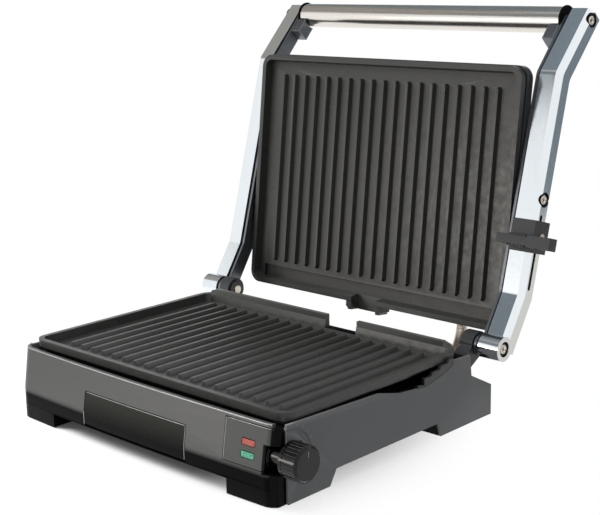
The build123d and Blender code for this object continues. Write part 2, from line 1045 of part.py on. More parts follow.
reflector_z = element_bay_floor + seat_gap
with BuildPart() as lower_heat_reflector:
    with BuildSketch(Plane.XY.offset(reflector_z)):
        with Locations((0, (element_bay_front + element_bay_rear) / 2)):
            Rectangle(2 * reflector_half, element_bay_rear - element_bay_front - 4)
    extrude(amount=reflector_lip)
    with BuildSketch(Plane.XY.offset(reflector_z + reflector_wall)):
        with Locations((0, (element_bay_front + element_bay_rear) / 2)):
            Rectangle(
                2 * (reflector_half - reflector_wall),
                element_bay_rear - element_bay_front - 4 - 2 * reflector_wall,
            )
    extrude(amount=reflector_lip, mode=Mode.SUBTRACT)
keep("lower_heat_reflector", lower_heat_reflector)

upper_under_w = -field_drop - field_wall
upper_heating_element = element(
    face_plane.offset(upper_under_w - element_radius - element_gap),
    upper_ridge_low + element_bend,
    upper_ridge_high - element_bend,
)
keep("upper_heating_element", upper_heating_element)

# ---------------------------------------------------------------- upper housing
def housing_solid(shrink):
    """Outer form of the upper housing, or of its hollow: straight sides, then a sloping back."""
    half = housing_half - shrink
    low = -housing_margin + shrink
    high = upper_length + housing_margin - shrink
    corner = max(housing_corner - shrink, 2.0)
    inset = housing_back_inset
    with BuildPart() as form:
        with BuildSketch(face_plane.offset(housing_front_w)):
            add(plate_outline(half, low, high, corner))
        extrude(amount=housing_side_w - housing_front_w)
        with BuildSketch(face_plane.offset(housing_side_w)):
            add(plate_outline(half, low, high, corner))
        with BuildSketch(face_plane.offset(housing_back_w + shrink)):
            add(plate_outline(half - inset, low + inset, high - inset, corner))
        loft()
    return form.part


with BuildPart() as upper_housing:
    add(housing_solid(0))
    add(housing_solid(housing_shell), mode=Mode.SUBTRACT)
    for side in (-1, 1):
        start = min(side * (housing_half + 0.5), side * (housing_half - bush_length))
        add(
            rod(start, start + bush_length + 0.5, pivot, bush_radius + 1.6)
            & housing_solid(0)
        )
        add(
            rod(start - 1, start + bush_length + 2, pivot, bush_radius + bore_gap),
            mode=Mode.SUBTRACT,
        )
    # room for the spout and the conduit's grommet at the hinge side
    with BuildSketch(face_plane.offset(housing_front_w + 1)):
        with Locations((spout_x, 0)):
            Rectangle(2 * (spout_half + seat_gap), 2 * (housing_shell + 1))
    extrude(amount=-spout_depth - 1, mode=Mode.SUBTRACT)
keep("upper_housing", upper_housing)

with BuildPart() as upper_cover:
    with BuildSketch(face_plane.offset(housing_back_w - seat_gap)):
        add(
            plate_outline(
                housing_half - housing_back_inset - cover_inset,
                housing_back_inset + cover_inset,
                upper_length - housing_back_inset - cover_inset,
                housing_corner,
            )
        )
    extrude(amount=-cover_sheet)
keep("upper_cover", upper_cover)

with BuildPart() as pivot_bushes:
    for side in (-1, 1):
        start = min(side * (housing_half + 0.4), side * (housing_half - bush_length))
        add(rod(start, start + bush_length + 0.4, pivot, bush_radius))
        add(
            rod(start - 1, start + bush_length + 2, pivot, pivot_radius + bore_gap),
            mode=Mode.SUBTRACT,
        )
keep("pivot_bushes", pivot_bushes)

# ---------------------------------------------------------------- hinge lugs
for lug_name, side in (("left_hinge_lug", -1), ("right_hinge_lug", 1)):
    start = min(side * lug_inner, side * lug_outer)
    with BuildPart() as hinge_lug:
        with BuildSketch(side_plane(start)):
            with Locations(hinge):
                Circle(lug_radius)
            with BuildLine():
                Polyline(
                    (plate_rear_y + lug_web_gap, deck_z + seat_gap),
                    (rear_slope_y + seat_gap, deck_z + seat_gap),
                    (rear_slope_y + seat_gap, rear_slope_z + 4),
                    (hinge_y + 2, hinge_z - lug_radius + 0.5),
                    (hinge_y - lug_radius + lug_web_inset, hinge_z),
                    (plate_rear_y + lug_web_gap, post_z - lug_web_drop),
                    close=True,
                )
            make_face()
        extrude(amount=lug_outer - lug_inner)
        add(
            rod(start - 1, start + lug_outer, hinge, hinge_pin_radius + bore_gap),
            mode=Mode.SUBTRACT,
        )
    keep(lug_name, hinge_lug)

# ---------------------------------------------------------------- arms
arm_line = [arm_foot, arm_low_kink, arm_high_kink, arm_tip]
arm_profile = band(arm_line, arm_half_depth, arm_bend_radius)
arm_outer_profile = band(
    arm_line, arm_half_depth - arm_edge, arm_bend_radius, arm_half_depth - arm_chamfer
)


def arm(side):
    """Arm on one side: a bent bar with a boss at the hinge and a broad chamfer at the front."""
    start = min(side * arm_inner, side * arm_outer)
    outer = side * arm_outer
    shoulder = side * (arm_outer - arm_chamfer)
    with BuildPart() as bar:
        with BuildSketch(side_plane(min(side * arm_inner, shoulder))):
            add(arm_profile)
        extrude(amount=arm_width - arm_chamfer)
        # broad chamfer along the front of the outer side
        with BuildSketch(side_plane(shoulder)):
            add(arm_profile)
        with BuildSketch(side_plane(outer)):
            add(arm_outer_profile)
        loft()
        add(rod(start, start + arm_width, hinge, boss_radius))
        for place, bore in (
            (hinge, hinge_pin_radius),
            (pivot, pivot_radius),
            (tube_centre, handle_pin_radius),
        ):
            add(
                rod(start - 1, start + arm_width + 1, place, bore + bore_gap),
                mode=Mode.SUBTRACT,
            )
            recess = min(outer, outer - side * screw_recess_depth)
            add(
                rod(recess, recess + screw_recess_depth, place, screw_recess_radius),
                mode=Mode.SUBTRACT,
            )
        if side > 0:
            with BuildSketch(slot_plane.offset(arm_inner - 1)):
                with Locations(((slot_low + slot_high) / 2, 0)):
                    SlotOverall(slot_high - slot_low, 2 * slot_half)
            extrude(amount=arm_width + 2, mode=Mode.SUBTRACT)
    return bar


left_arm = arm(-1)
keep("left_arm", left_arm)
right_arm = arm(1)
keep("right_arm", right_arm)

strap_line = [arm_foot, arm_low_kink, arm_high_kink, tube_centre]
strap_profile = band(strap_line, strap_half_depth, arm_bend_radius)
for strap_name, side in (("left_inner_strap", -1), ("right_inner_strap", 1)):
    start = min(side * strap_inner, side * (strap_inner + strap_wall))
    with BuildPart() as inner_strap:
        with BuildSketch(side_plane(start)):
            add(strap_profile)
            with Locations(hinge):
                Circle(boss_radius - 1)
        extrude(amount=strap_wall)
        for place, bore in (
            (hinge, hinge_pin_radius),
            (pivot, pivot_radius),
            (tube_centre, handle_pin_radius),
        ):
            add(
                rod(start - 1, start + strap_wall + 1, place, bore + bore_gap),
                mode=Mode.SUBTRACT,
            )
        if side > 0:
            with BuildSketch(slot_plane.offset(strap_inner - 1)):
                with Locations(((slot_low + slot_high) / 2, 0)):
                    SlotOverall(slot_high - slot_low, 2 * slot_half)
            extrude(amount=strap_wall + 1.1, mode=Mode.SUBTRACT)
    keep(strap_name, inner_strap)

# spacers between straps and arms, pins and screws
def spacer_set():
    """Washers that hold each strap off its arm at the hinge, the pivot and the handle."""
    with BuildPart() as washers:
        for side in (-1, 1):
            inner_x = side * (strap_inner + strap_wall + seat_gap / 2)
            outer_x = side * (arm_inner - seat_gap / 2)
            for place, bore in (
                (hinge, hinge_pin_radius),
                (pivot, pivot_radius),
                (tube_centre, handle_pin_radius),
            ):
                low = min(inner_x, outer_x)
                high = max(inner_x, outer_x)
                add(rod(low, high, place, bore + spacer_wall))
                add(rod(low - 1, high + 1, place, bore + bore_gap), mode=Mode.SUBTRACT)
    return washers


arm_spacers = spacer_set()
keep("arm_spacers", arm_spacers)


def headed_pin(side, inner_x, place, radius):
    """Pin with a round socket head that lies in the recess of the arm's outer side."""
    head_start = side * (arm_outer - screw_recess_depth + seat_gap)
    head_end = side * (arm_outer - screw_recess_depth + seat_gap + screw_head_length)
    tip = side * inner_x
    low = min(tip, head_start)
    high = max(tip, head_start)
    head_low = min(head_start, head_end)
    head = rod(head_low, head_low + screw_head_length, place, screw_head_radius)
    socket_low = min(head_end, head_end - side * socket_depth)
    socket = rod(socket_low, socket_low + socket_depth, place, socket_radius)
    return rod(low, high, place, radius) + head - socket


with BuildPart() as hinge_pins:
    for side in (-1, 1):
        add(headed_pin(side, lug_inner - washer_length - 2.4, hinge, hinge_pin_radius))
keep("hinge_pins", hinge_pins)

with BuildPart() as hinge_end_caps:
    for side in (-1, 1):
        start = min(side * (lug_inner - seat_gap), side * (lug_inner - seat_gap - washer_length))
        add(rod(start, start + washer_length, hinge, washer_radius))
        add(
            rod(start - 1, start + washer_length + 1, hinge, hinge_pin_radius + bore_gap),
            mode=Mode.SUBTRACT,
        )
keep("hinge_end_caps", hinge_end_caps)

with BuildPart() as pivot_pins:
    for side in (-1, 1):
        add(headed_pin(side, housing_half - bush_length + 0.4, pivot, pivot_radius))
keep("pivot_pins", pivot_pins)

with BuildPart() as handle_screws:
    for side in (-1, 1):
        add(headed_pin(side, tube_half - plug_length, tube_centre, handle_pin_radius))
keep("handle_screws", handle_screws)

# ---------------------------------------------------------------- handle
with BuildPart() as handle_tube:
    add(rod(-tube_half, tube_half, tube_centre, tube_radius))
    add(
        rod(-tube_half - 1, tube_half + 1, tube_centre, tube_radius - tube_wall),
        mode=Mode.SUBTRACT,
    )
keep("handle_tube", handle_tube)

with BuildPart() as handle_end_rings:
    for side in (-1, 1):
        flange = side * (tube_half + seat_gap)
        rim = side * (strap_inner - seat_gap)
        plug = side * (tube_half - plug_length + 1)
        add(rod(min(flange, rim), max(flange, rim), tube_centre, ring_radius))
        add(rod(min(plug, flange), max(plug, flange), tube_centre, tube_radius - tube_wall - seat_gap))
        add(
            rod(min(plug, rim) - 1, max(plug, rim) + 1, tube_centre, handle_pin_radius + bore_gap),
            mode=Mode.SUBTRACT,
        )
keep("handle_end_rings", handle_end_rings)

bracket_start = towards(tube_centre, arm_high_kink, tube_radius / 2)
bracket_end = towards(tube_centre, arm_high_kink, bracket_length)
with BuildPart() as handle_brackets:
    for side in (-1, 1):
        start = min(side * bracket_inner, side * bracket_outer)
        with BuildSketch(side_plane(start)):
            add(band([bracket_start, bracket_end], bracket_half_depth, 0.5))
        extrude(amount=bracket_outer - bracket_inner)
    add(rod(-far, far, tube_centre, ring_radius + seat_gap), mode=Mode.SUBTRACT)
keep("handle_brackets", handle_brackets)

# ---------------------------------------------------------------- height stop
def arm_block(x0, x1, low, high, back, front):
    """Box in the frame of the right arm: across X, along the arm and out of its front face."""
    solid = Box(x1 - x0, high - low, front - back, align=(Align.MIN, Align.MIN, Align.MIN), mode=Mode.PRIVATE)
    return arm_plane.location * Location((x0, low, back)) * solid


sleeve_inner_half = arm_half_depth + sleeve_play
with BuildPart() as slider_sleeve:
    add(
        arm_block(
            arm_inner,
            arm_outer + sleeve_play + sleeve_wall,
            sleeve_low,
            sleeve_high,
            -sleeve_inner_half - sleeve_wall,
            sleeve_inner_half + sleeve_wall,
        )
    )
    add(
        arm_block(
            arm_inner - 1,
            arm_outer + sleeve_play,
            sleeve_low - 1,
            sleeve_high + 1,
            -sleeve_inner_half,
            sleeve_inner_half,
        ),
        mode=Mode.SUBTRACT,
    )
    add(
        rod(
            arm_outer,
            far,
            towards(arm_low_kink, arm_high_kink, (sleeve_low + sleeve_high) / 2),
            sleeve_pin_radius + bore_gap,
        ),
        mode=Mode.SUBTRACT,
    )
keep("slider_sleeve", slider_sleeve)

with BuildPart() as lock_bar:
    add(arm_block(bar_left_x, bar_right_x, bar_low, bar_high, bar_back_w, bar_front_w))
    add(
        arm_block(
            grip_left_x,
            bar_right_x,
            (bar_low + bar_high) / 2 - grip_half_rise,
            (bar_low + bar_high) / 2 + grip_half_rise,
            bar_back_w - 1,
            bar_front_w + 1,
        )
    )
    add(
        arm_block(
            arm_inner + 2,
            arm_outer - 1,
            bar_low - 1.5,
            bar_high + 1.5,
            sleeve_inner_half + sleeve_wall + seat_gap,
            bar_back_w + 1,
        )
    )
keep("lock_bar", lock_bar)

pin_place = towards(arm_low_kink, arm_high_kink, (sleeve_low + sleeve_high) / 2)
with BuildPart() as slider_pin:
    add(rod(strap_inner + 0.2, arm_outer + sleeve_play + sleeve_wall, pin_place, sleeve_pin_radius))
    add(
        rod(
            arm_outer + sleeve_play + sleeve_wall + seat_gap,
            arm_outer + sleeve_play + sleeve_wall + seat_gap + keeper_length,
            pin_place,
            keeper_radius,
        )
    )
    add(
        rod(
            arm_outer + sleeve_play,
            arm_outer + sleeve_play + sleeve_wall + seat_gap + keeper_length,
            pin_place,
            sleeve_pin_radius,
        )
    )
keep("slider_pin", slider_pin)

rack_treads = []
for step in range(rack_steps):
    tread_y = rack_first_y + step * rack_pitch
    tread_z = rack_first_z + step * rack_rise
    rack_treads.append((tread_y, tread_z))
    rack_treads.append((tread_y + rack_pitch - rack_riser_run, tread_z))
rack_treads.pop()
rack_top_z = rack_first_z + (rack_steps - 1) * rack_rise

with BuildPart() as height_rack:
    with BuildSketch(side_plane(rack_inner)):
        with BuildLine():
            Polyline(
                (rack_nose_y, dip_end_z),
                (rack_first_y, rack_root_z),
                *rack_treads,
                (post_front_y - 1, rack_top_z),
                (post_front_y - 1, post_z + seat_gap),
                (post_front_y - 0.4, post_z + seat_gap),
                (post_front_y - panel_wall - 0.2, dip_start_z + seat_gap),
                (step_y, step_z + seat_gap),
                (valley_y, valley_z + seat_gap),
                (rack_nose_y, valley_z + seat_gap + 1.0),
                close=True,
            )
        make_face()
    extrude(amount=rack_outer - rack_inner)
keep("height_rack", height_rack)

# ---------------------------------------------------------------- conduit, glands and terminals
conduit_end = face_plane.from_local_coords(
    (conduit_top_x, -housing_margin - seat_gap, conduit_entry_w)
)
conduit_start = (conduit_x, conduit_y, conduit_low_z)
conduit_upper_turn = conduit_end - face_plane.y_dir * conduit_last_run
conduit_lower_turn = tuple(start + step for start, step in zip(conduit_start, conduit_turn_step))
conduit_points = [conduit_start, conduit_lower_turn, tuple(conduit_upper_turn), tuple(conduit_end)]


def bend_radii(points):
    """Radius of each bend: as large as the shorter of its two runs allows."""
    radii = []
    for before, point, after in zip(points[:-2], points[1:-1], points[2:]):
        arriving = Vector(*point) - Vector(*before)
        leaving = Vector(*after) - Vector(*point)
        half_turn = radians(arriving.get_angle(leaving)) / 2
        shorter = min(arriving.length, leaving.length)
        radii.append(bend_share * shorter / tan(half_turn))
    return radii


with BuildPart() as conduit:
    with BuildLine() as conduit_path:
        FilletPolyline(*conduit_points, radius=bend_radii(conduit_points))
    with BuildSketch(Plane(origin=conduit_start, z_dir=conduit_path.line % 0)):
        Circle(conduit_radius)
    sweep()
keep("conduit", conduit)

with BuildPart() as conduit_gland:
    with Locations((conduit_x, conduit_y, gland_low_z + seat_gap)):
        Cylinder(
            gland_radius - seat_gap,
            gland_high_z - gland_low_z,
            align=(Align.CENTER, Align.CENTER, Align.MIN),
        )
    with Locations((conduit_x, conduit_y, conduit_low_z - conduit_radius / 2)):
        Cylinder(
            gland_bore,
            far / 4,
            align=(Align.CENTER, Align.CENTER, Align.MIN),
            mode=Mode.SUBTRACT,
        )
keep("conduit_gland", conduit_gland)

with BuildPart() as cord_gland:
    with Locations((cord_gland_x, base_rear + seat_gap, cord_gland_z)):
        Cylinder(
            cord_gland_radius,
            cord_gland_end - base_rear,
            rotation=(-90, 0, 0),
            align=(Align.CENTER, Align.CENTER, Align.MIN),
        )
    with Locations((cord_gland_x, side_bay_rear + 1, cord_gland_z)):
        Cylinder(
            cord_gland_radius - 1.5 - seat_gap,
            base_rear - side_bay_rear,
            rotation=(-90, 0, 0),
            align=(Align.CENTER, Align.CENTER, Align.MIN),
        )
    with Locations((cord_gland_x, side_bay_rear, cord_gland_z)):
        Cylinder(
            cord_bore_radius,
            far / 4,
            rotation=(-90, 0, 0),
            align=(Align.CENTER, Align.CENTER, Align.MIN),
            mode=Mode.SUBTRACT,
        )
keep("cord_gland", cord_gland)

with BuildPart() as terminal_block:
    with Locations((cord_gland_x, side_bay_rear - terminal_depth, bay_floor_z)):
        Box(
            terminal_width - 8,
            terminal_depth,
            terminal_height - 5,
            align=(Align.CENTER, Align.CENTER, Align.MIN),
        )
keep("terminal_block", terminal_block)

# ---------------------------------------------------------------- shared origin and export
# the whole press is moved so that the middle of its footprint's bounding box is the origin
bounds = Compound(children=[Compound(part.solids()) for part in finished.values()]).bounding_box()
shift = Location((-bounds.center().X, -bounds.center().Y, -bounds.min.Z))
for node_name, part in finished.items():
    moved = part.moved(shift)
    moved.label = node_name
    export_step(moved, f"parts/{node_name}.step")

print("shift", shift.position)
print("size", bounds.size)
print("pivot", pivot, "hinge", hinge, "bends", bend_radii(conduit_points))
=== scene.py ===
import json
import math

import bmesh
import bpy
from mathutils import Matrix, Vector


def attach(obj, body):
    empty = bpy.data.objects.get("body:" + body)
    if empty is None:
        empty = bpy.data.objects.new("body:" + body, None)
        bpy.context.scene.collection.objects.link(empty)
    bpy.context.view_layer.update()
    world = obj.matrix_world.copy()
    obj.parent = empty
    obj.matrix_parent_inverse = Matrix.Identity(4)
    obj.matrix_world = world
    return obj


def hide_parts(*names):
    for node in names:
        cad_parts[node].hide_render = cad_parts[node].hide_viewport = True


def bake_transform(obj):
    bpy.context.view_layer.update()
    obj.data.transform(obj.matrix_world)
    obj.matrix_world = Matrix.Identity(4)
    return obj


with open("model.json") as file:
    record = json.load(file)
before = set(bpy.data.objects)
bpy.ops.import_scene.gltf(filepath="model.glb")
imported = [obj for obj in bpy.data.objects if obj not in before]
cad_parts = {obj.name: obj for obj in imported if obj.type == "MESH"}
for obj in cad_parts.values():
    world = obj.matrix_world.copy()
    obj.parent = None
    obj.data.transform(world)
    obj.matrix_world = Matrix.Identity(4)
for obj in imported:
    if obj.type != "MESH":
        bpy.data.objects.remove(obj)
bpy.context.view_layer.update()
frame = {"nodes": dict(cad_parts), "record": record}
nodes = frame["nodes"]
node_body = {
    name: body
    for body, names in frame["record"]["behaviour"]["bodies"].items()
    for name in names
}

# ------------------------------------------------------------------ places
# In mm in the construction frame, where x runs right, y to the rear and z up. A pair is
# (y, z).
MM = 0.001
SHIFT = Vector((-13.75, -57.85, 0.0)) * MM
HINGE = (112.5, 62.5)
PIVOT = (165.67, 174.055)
TUBE = (230.5, 312.0)
ARM_OUTER = 170.0
ARM_LOW_BEND = (143.2, 98.0)
ARM_HIGH_BEND = (191.9, 270.0)
ARM_LEAN = math.atan2(ARM_HIGH_BEND[0] - ARM_LOW_BEND[0], ARM_HIGH_BEND[1] - ARM_LOW_BEND[1])
PLATE_LEAN = math.radians(6.87)
# the pivot's place on the upper plate: up from the hinge side, and back from the rim plane
PIVOT_UP = 111.9
PIVOT_BACK = 9.6
SIDES = ((-1, "left"), (1, "right"))


def at(x, y, z):
    """A point of the construction frame, in mm, as a point of the row frame, in metres."""
    return Vector((x, y, z)) * MM + SHIFT


def on_plate(x, up, out):
    """A point of the upper plate: across, up from its hinge side, and out of its rim plane."""
    up, out = up - PIVOT_UP, out + PIVOT_BACK
    y = PIVOT[0] + math.sin(PLATE_LEAN) * up - math.cos(PLATE_LEAN) * out
    z = PIVOT[1] + math.cos(PLATE_LEAN) * up + math.sin(PLATE_LEAN) * out
    return at(x, y, z)


def span(low, high, count):
    """Evenly spaced values from one to another, with both ends."""
    return [low + (high - low) * index / (count - 1) for index in range(count)]


# ------------------------------------------------------------------ material helpers
def linear(grey):
    """An sRGB value from 0 to 255 as a linear one."""
    c = grey / 255
    return c / 12.92 if c <= 0.04045 else ((c + 0.055) / 1.055) ** 2.4


def rgb(r, g, b):
    """A linear colour from sRGB values."""
    return (linear(r), linear(g), linear(b), 1.0)


def neutral(level, tint=0):
    """A linear grey from an sRGB level, with a little more or less blue."""
    return rgb(level, level, level + tint)


def darker(color, factor):
    """A linear colour scaled down."""
    return tuple(c * factor for c in color[:3]) + (1,)


def set_inputs(node, values):
    """Constant values on a node's input sockets."""
    for socket, value in values.items():
        node.inputs[socket].default_value = value


def add_node(tree, kind, values=None, **settings):
    """A new node, with its settings and then the values of its inputs."""
    node = tree.nodes.new(kind)
    for key, value in settings.items():
        setattr(node, key, value)
    set_inputs(node, values or {})
    return node


class Look:
    """A node material that is built up from the principled shader."""

    COAT_ROUGHNESS = 0.1
    NOISE_ROUGHNESS = 0.55
    # levels of the noise at which a wandering roughness is lowest and highest
    NOISE_RANGE = (0.3, 0.7)
    RELIEF = 0.2 * MM
    # a mix node's factor and two colours, by number because other sockets share their names
    MIX_SOCKETS = (0, 6, 7)

    def __init__(self, name, color, rough, metal=0.0, specular=0.5, coat=0.0):
        self.mat = bpy.data.materials.new(name)
        self.mat.use_nodes = True
        self.tree = self.mat.node_tree
        self.bsdf = self.tree.nodes["Principled BSDF"]
        set_inputs(self.bsdf, {
            "Base Color": color,
            "Roughness": rough,
            "Metallic": metal,
            "Specular IOR Level": specular,
            "Coat Weight": coat,
            "Coat Roughness": self.COAT_ROUGHNESS,
        })
        self.color = color
        self.rough = rough
        self.coords = self.node("ShaderNodeTexCoord").outputs["Object"]
        self.normal = None

    def node(self, kind, values=None, **settings):
        """A new node of this material."""
        return add_node(self.tree, kind, values, **settings)

    def link(self, source, target):
        """A link from an output to an input."""
        self.tree.links.new(source, target)

    def drive(self, source, socket):
        """A socket of the principled shader that follows an output."""
        self.link(source, self.bsdf.inputs[socket])

    def mapped(self, scale=(1, 1, 1), turn=(0, 0, 0), shift=(0, 0, 0)):
        """Object coordinates, scaled, turned and moved."""
        values = {"Scale": scale, "Rotation": turn, "Location": shift}
        mapping = self.node("ShaderNodeMapping", values)
        self.link(self.coords, mapping.inputs["Vector"])
        return mapping.outputs["Vector"]

    def place(self):
        """Object coordinates, axis by axis."""
        split = self.node("ShaderNodeSeparateXYZ")
        self.link(self.coords, split.inputs[0])
        return split.outputs

    def noise(self, scale, detail, stretch=(1, 1, 1), turn=(0, 0, 0)):
        """Noise, which is drawn out along an axis that has a small stretch value."""
        values = {"Scale": scale, "Detail": detail, "Roughness": self.NOISE_ROUGHNESS}
        tex = self.node("ShaderNodeTexNoise", values)
        self.link(self.mapped(stretch, turn), tex.inputs["Vector"])
        return tex.outputs["Fac"]

    def ramp(self, source, low, high, low_value, high_value):
        """A value that runs between two others while its source runs from low to high."""
        values = {
            "From Min": low, "From Max": high, "To Min": low_value, "To Max": high_value,
        }
        tex = self.node("ShaderNodeMapRange", values)
        self.link(source, tex.inputs["Value"])
        return tex.outputs["Result"]

    def mix(self, factor, first, second):
        """A colour between two, each of them a constant or an output."""
        tex = self.node("ShaderNodeMix", data_type="RGBA")
        for value, index in zip((factor, first, second), self.MIX_SOCKETS):
            if hasattr(value, "is_linked"):
                self.link(value, tex.inputs[index])
            else:
                tex.inputs[index].default_value = value
        return tex.outputs[2]

    def vary_rough(self, scale, amount, stretch=(1, 1, 1), turn=(0, 0, 0)):
        """Roughness that wanders round its value."""
        wander = self.noise(scale, 5.0, stretch, turn)
        low, high = self.rough - amount, self.rough + amount
        self.drive(self.ramp(wander, *self.NOISE_RANGE, low, high), "Roughness")
        return self

    def vary_color(self, scale, other, low=0.4, high=0.7, stretch=(1, 1, 1), turn=(0, 0, 0)):
        """Base colour that wanders towards another."""
        wander = self.noise(scale, 4.0, stretch, turn)
        factor = self.ramp(wander, low, high, 0.0, 1.0)
        self.drive(self.mix(factor, self.color, other), "Base Color")
        return self

    def pale_edges(self, other, low, high):
        """Base colour that turns to another on sharp outer edges."""
        geometry = self.node("ShaderNodeNewGeometry")
        factor = self.ramp(geometry.outputs["Pointiness"], low, high, 0.0, 1.0)
        base = self.bsdf.inputs["Base Color"]
        first = base.links[0].from_socket if base.is_linked else self.color
        self.drive(self.mix(factor, first, other), "Base Color")
        return self

    def bump(self, height, strength, distance=RELIEF):
        """Relief that is added to any made before."""
        tex = self.node("ShaderNodeBump", {"Strength": strength, "Distance": distance})
        self.link(height, tex.inputs["Height"])
        if self.normal is not None:
            self.link(self.normal, tex.inputs["Normal"])
        self.normal = tex.outputs["Normal"]
        self.drive(self.normal, "Normal")
        return self

    def grain(self, scale, strength, stretch=(1, 1, 1), turn=(0, 0, 0)):
        """Fine relief from noise, drawn out for brushed surfaces."""
        return self.bump(self.noise(scale, 3.0, stretch, turn), strength)


# ------------------------------------------------------------------ materials
def dark_plastic(name, level, rough, specular):
    """Dark moulded or painted surface, with slightly paler sharp edges."""
    look = Look(name, neutral(level, 1), rough, specular=specular)
    look.vary_rough(90, 0.05).vary_color(14, neutral(level + 7), 0.45, 0.8)
    look.grain(2600, 0.05)
    look.pale_edges(neutral(level + 24), 0.53, 0.7)
    return look.mat


def side_painted_reflection():
    """Satin grey on the side panels: a painted reflection of a grey softbox on black."""
    look = Look("side_panel_painted_reflection_grey", neutral(120), 0.5, specular=0.3)
    look.vary_rough(60, 0.05).vary_color(9, neutral(116), 0.4, 0.75)
    look.grain(1700, 0.12).grain(420, 0.03)
    look.pale_edges(neutral(150), 0.53, 0.7)
    return look.mat


def coating(name, level, rough, specular, edge_highlight, edge_highlight_from):
    """Non-stick coating, paler on edges that are sharper than a limit: a painted highlight along
    crests and rims.
    """
    look = Look(name, neutral(level, -2), rough, specular=specular)
    look.vary_rough(160, 0.07)
    look.vary_color(700, neutral(level + 9, -2), 0.5, 0.72)
    look.pale_edges(neutral(level + edge_highlight, -3), edge_highlight_from, 0.68)
    look.grain(1500, 0.16).grain(340, 0.04)
    return look.mat


def polished_aluminium():
    """Bright arms, with a faint grain along their middle stretch."""
    look = Look("arm_aluminium", (0.83, 0.87, 0.9, 1), 0.15, metal=1.0)
    stretch, turn = (1, 1, 0.02), (ARM_LEAN, 0, 0)
    look.vary_rough(900, 0.04, stretch, turn)
    look.vary_color(26, (0.78, 0.82, 0.85, 1), 0.35, 0.75, (1, 1, 0.3), turn)
    look.grain(1500, 0.04, stretch, turn)
    return look.mat


def tube_steel():
    """Warm steel with a grain along the handle."""
    look = Look("handle_brushed_steel", (0.8, 0.765, 0.71, 1), 0.2, metal=1.0)
    stretch = (0.012, 1, 1)
    look.vary_rough(1500, 0.06, stretch)
    look.vary_color(1100, (0.73, 0.695, 0.64, 1), 0.4, 0.7, stretch)
    look.grain(2400, 0.1, stretch)
    return look.mat


def plain_metal(name, color, rough, scale=1300, stretch=(1, 1, 1), strength=0.12):
    """Bare metal with darker patches and a grain."""
    look = Look(name, color, rough, metal=1.0)
    look.vary_rough(scale, 0.06, stretch)
    look.vary_color(scale / 9, darker(color, 0.8), 0.45, 0.75, stretch)
    look.grain(scale, strength, stretch)
    return look.mat


def print_look(name, color):
    """Printed marks."""
    look = Look(name, color, 0.5, specular=0.3)
    look.vary_rough(400, 0.05).vary_color(200, darker(color, 0.85)).grain(1500, 0.05)
    return look.mat


LACQUER_BLACK = neutral(6)
# where the painted reflection changes: at the crease, from left to right, and up the tray's
# front
CREASE_REFLECTION_FADE = (21.5 * MM, 25.8 * MM)
FASCIA_REFLECTION_FADE = (-160.0 * MM, 120.0 * MM)
TRAY_SHEEN_FADE = (20.0 * MM, 40.0 * MM)


def streaked(look, first, second):
    """A colour between two, in fine streaks across the front."""
    streaks = look.noise(1400, 3.0, (0.02, 1, 1))
    return look.mix(look.ramp(streaks, 0.35, 0.7, 0.0, 1.0), first, second)


def fascia_painted_reflection_look():
    """Dark lacquered front: deep gloss black below the crease, and above it a satin grey that is
    a painted reflection, a little darker towards the left.
    """
    look = Look("fascia_lacquer_painted_reflection", neutral(84, -1), 0.34, metal=0.35, specular=0.5)
    place = look.place()
    # the painted reflection covers the front above the crease and darkens towards its left end
    above = look.ramp(place["Z"], *CREASE_REFLECTION_FADE, 0.0, 1.0)
    reflection_leftness = look.ramp(place["X"], *FASCIA_REFLECTION_FADE, 1.0, 0.0)
    upper = streaked(look, neutral(86, -2), neutral(78, -1))
    upper = look.mix(reflection_leftness, upper, neutral(74, -1))
    look.drive(look.mix(above, LACQUER_BLACK, upper), "Base Color")
    # each socket's value below the crease and above it
    for socket, below_value, above_value in (
        ("Roughness", 0.2, 0.36),
        ("Specular IOR Level", 0.04, 0.5),
        ("Metallic", 0.0, 0.35),
    ):
        look.drive(look.ramp(above, 0, 1, below_value, above_value), socket)
    look.grain(1600, 0.05, (0.03, 1, 1))
    return look.mat


def tray_painted_sheen_look():
    """Tray front: deep gloss black, with a painted sheen that pales it a little towards its top
    edge.
    """
    look = Look("tray_front_lacquer_painted_sheen", neutral(30, -3), 0.3, specular=0.05)
    # painted sheen: the black turns paler towards the tray front's top edge
    sheen_rise = look.ramp(look.place()["Z"], *TRAY_SHEEN_FADE, 0.0, 1.0)
    pale = streaked(look, neutral(54, -5), neutral(49, -4))
    look.drive(look.mix(sheen_rise, LACQUER_BLACK, pale), "Base Color")
    look.vary_rough(300, 0.04).grain(1600, 0.04, (0.03, 1, 1))
    return look.mat


def panel_look():
    """Satin plastic of the control panel."""
    look = Look("control_panel_satin", neutral(74, -3), 0.4, specular=0.35)
    look.vary_rough(300, 0.05).vary_color(30, neutral(69, -3), 0.4, 0.75).grain(2100, 0.1)
    return look.mat


def lens_look(name, color, deep):
    """Coloured lens with a fine pattern of cells."""
    look = Look(name, color, 0.16, specular=0.6, coat=0.4)
    cells = look.node("ShaderNodeTexVoronoi", {"Scale": 900})
    look.link(look.mapped(), cells.inputs["Vector"])
    factor = look.ramp(cells.outputs["Distance"], 0.0, 0.6, 0.0, 1.0)
    look.drive(look.mix(factor, color, deep), "Base Color")
    look.bump(cells.outputs["Distance"], 0.15)
    return look.mat


def rubber_look():
    """Dull rubber of the feet."""
    look = Look("foot_rubber", neutral(28), 0.75, specular=0.3)
    look.vary_rough(200, 0.08).vary_color(60, neutral(40)).grain(1200, 0.3)
    return look.mat


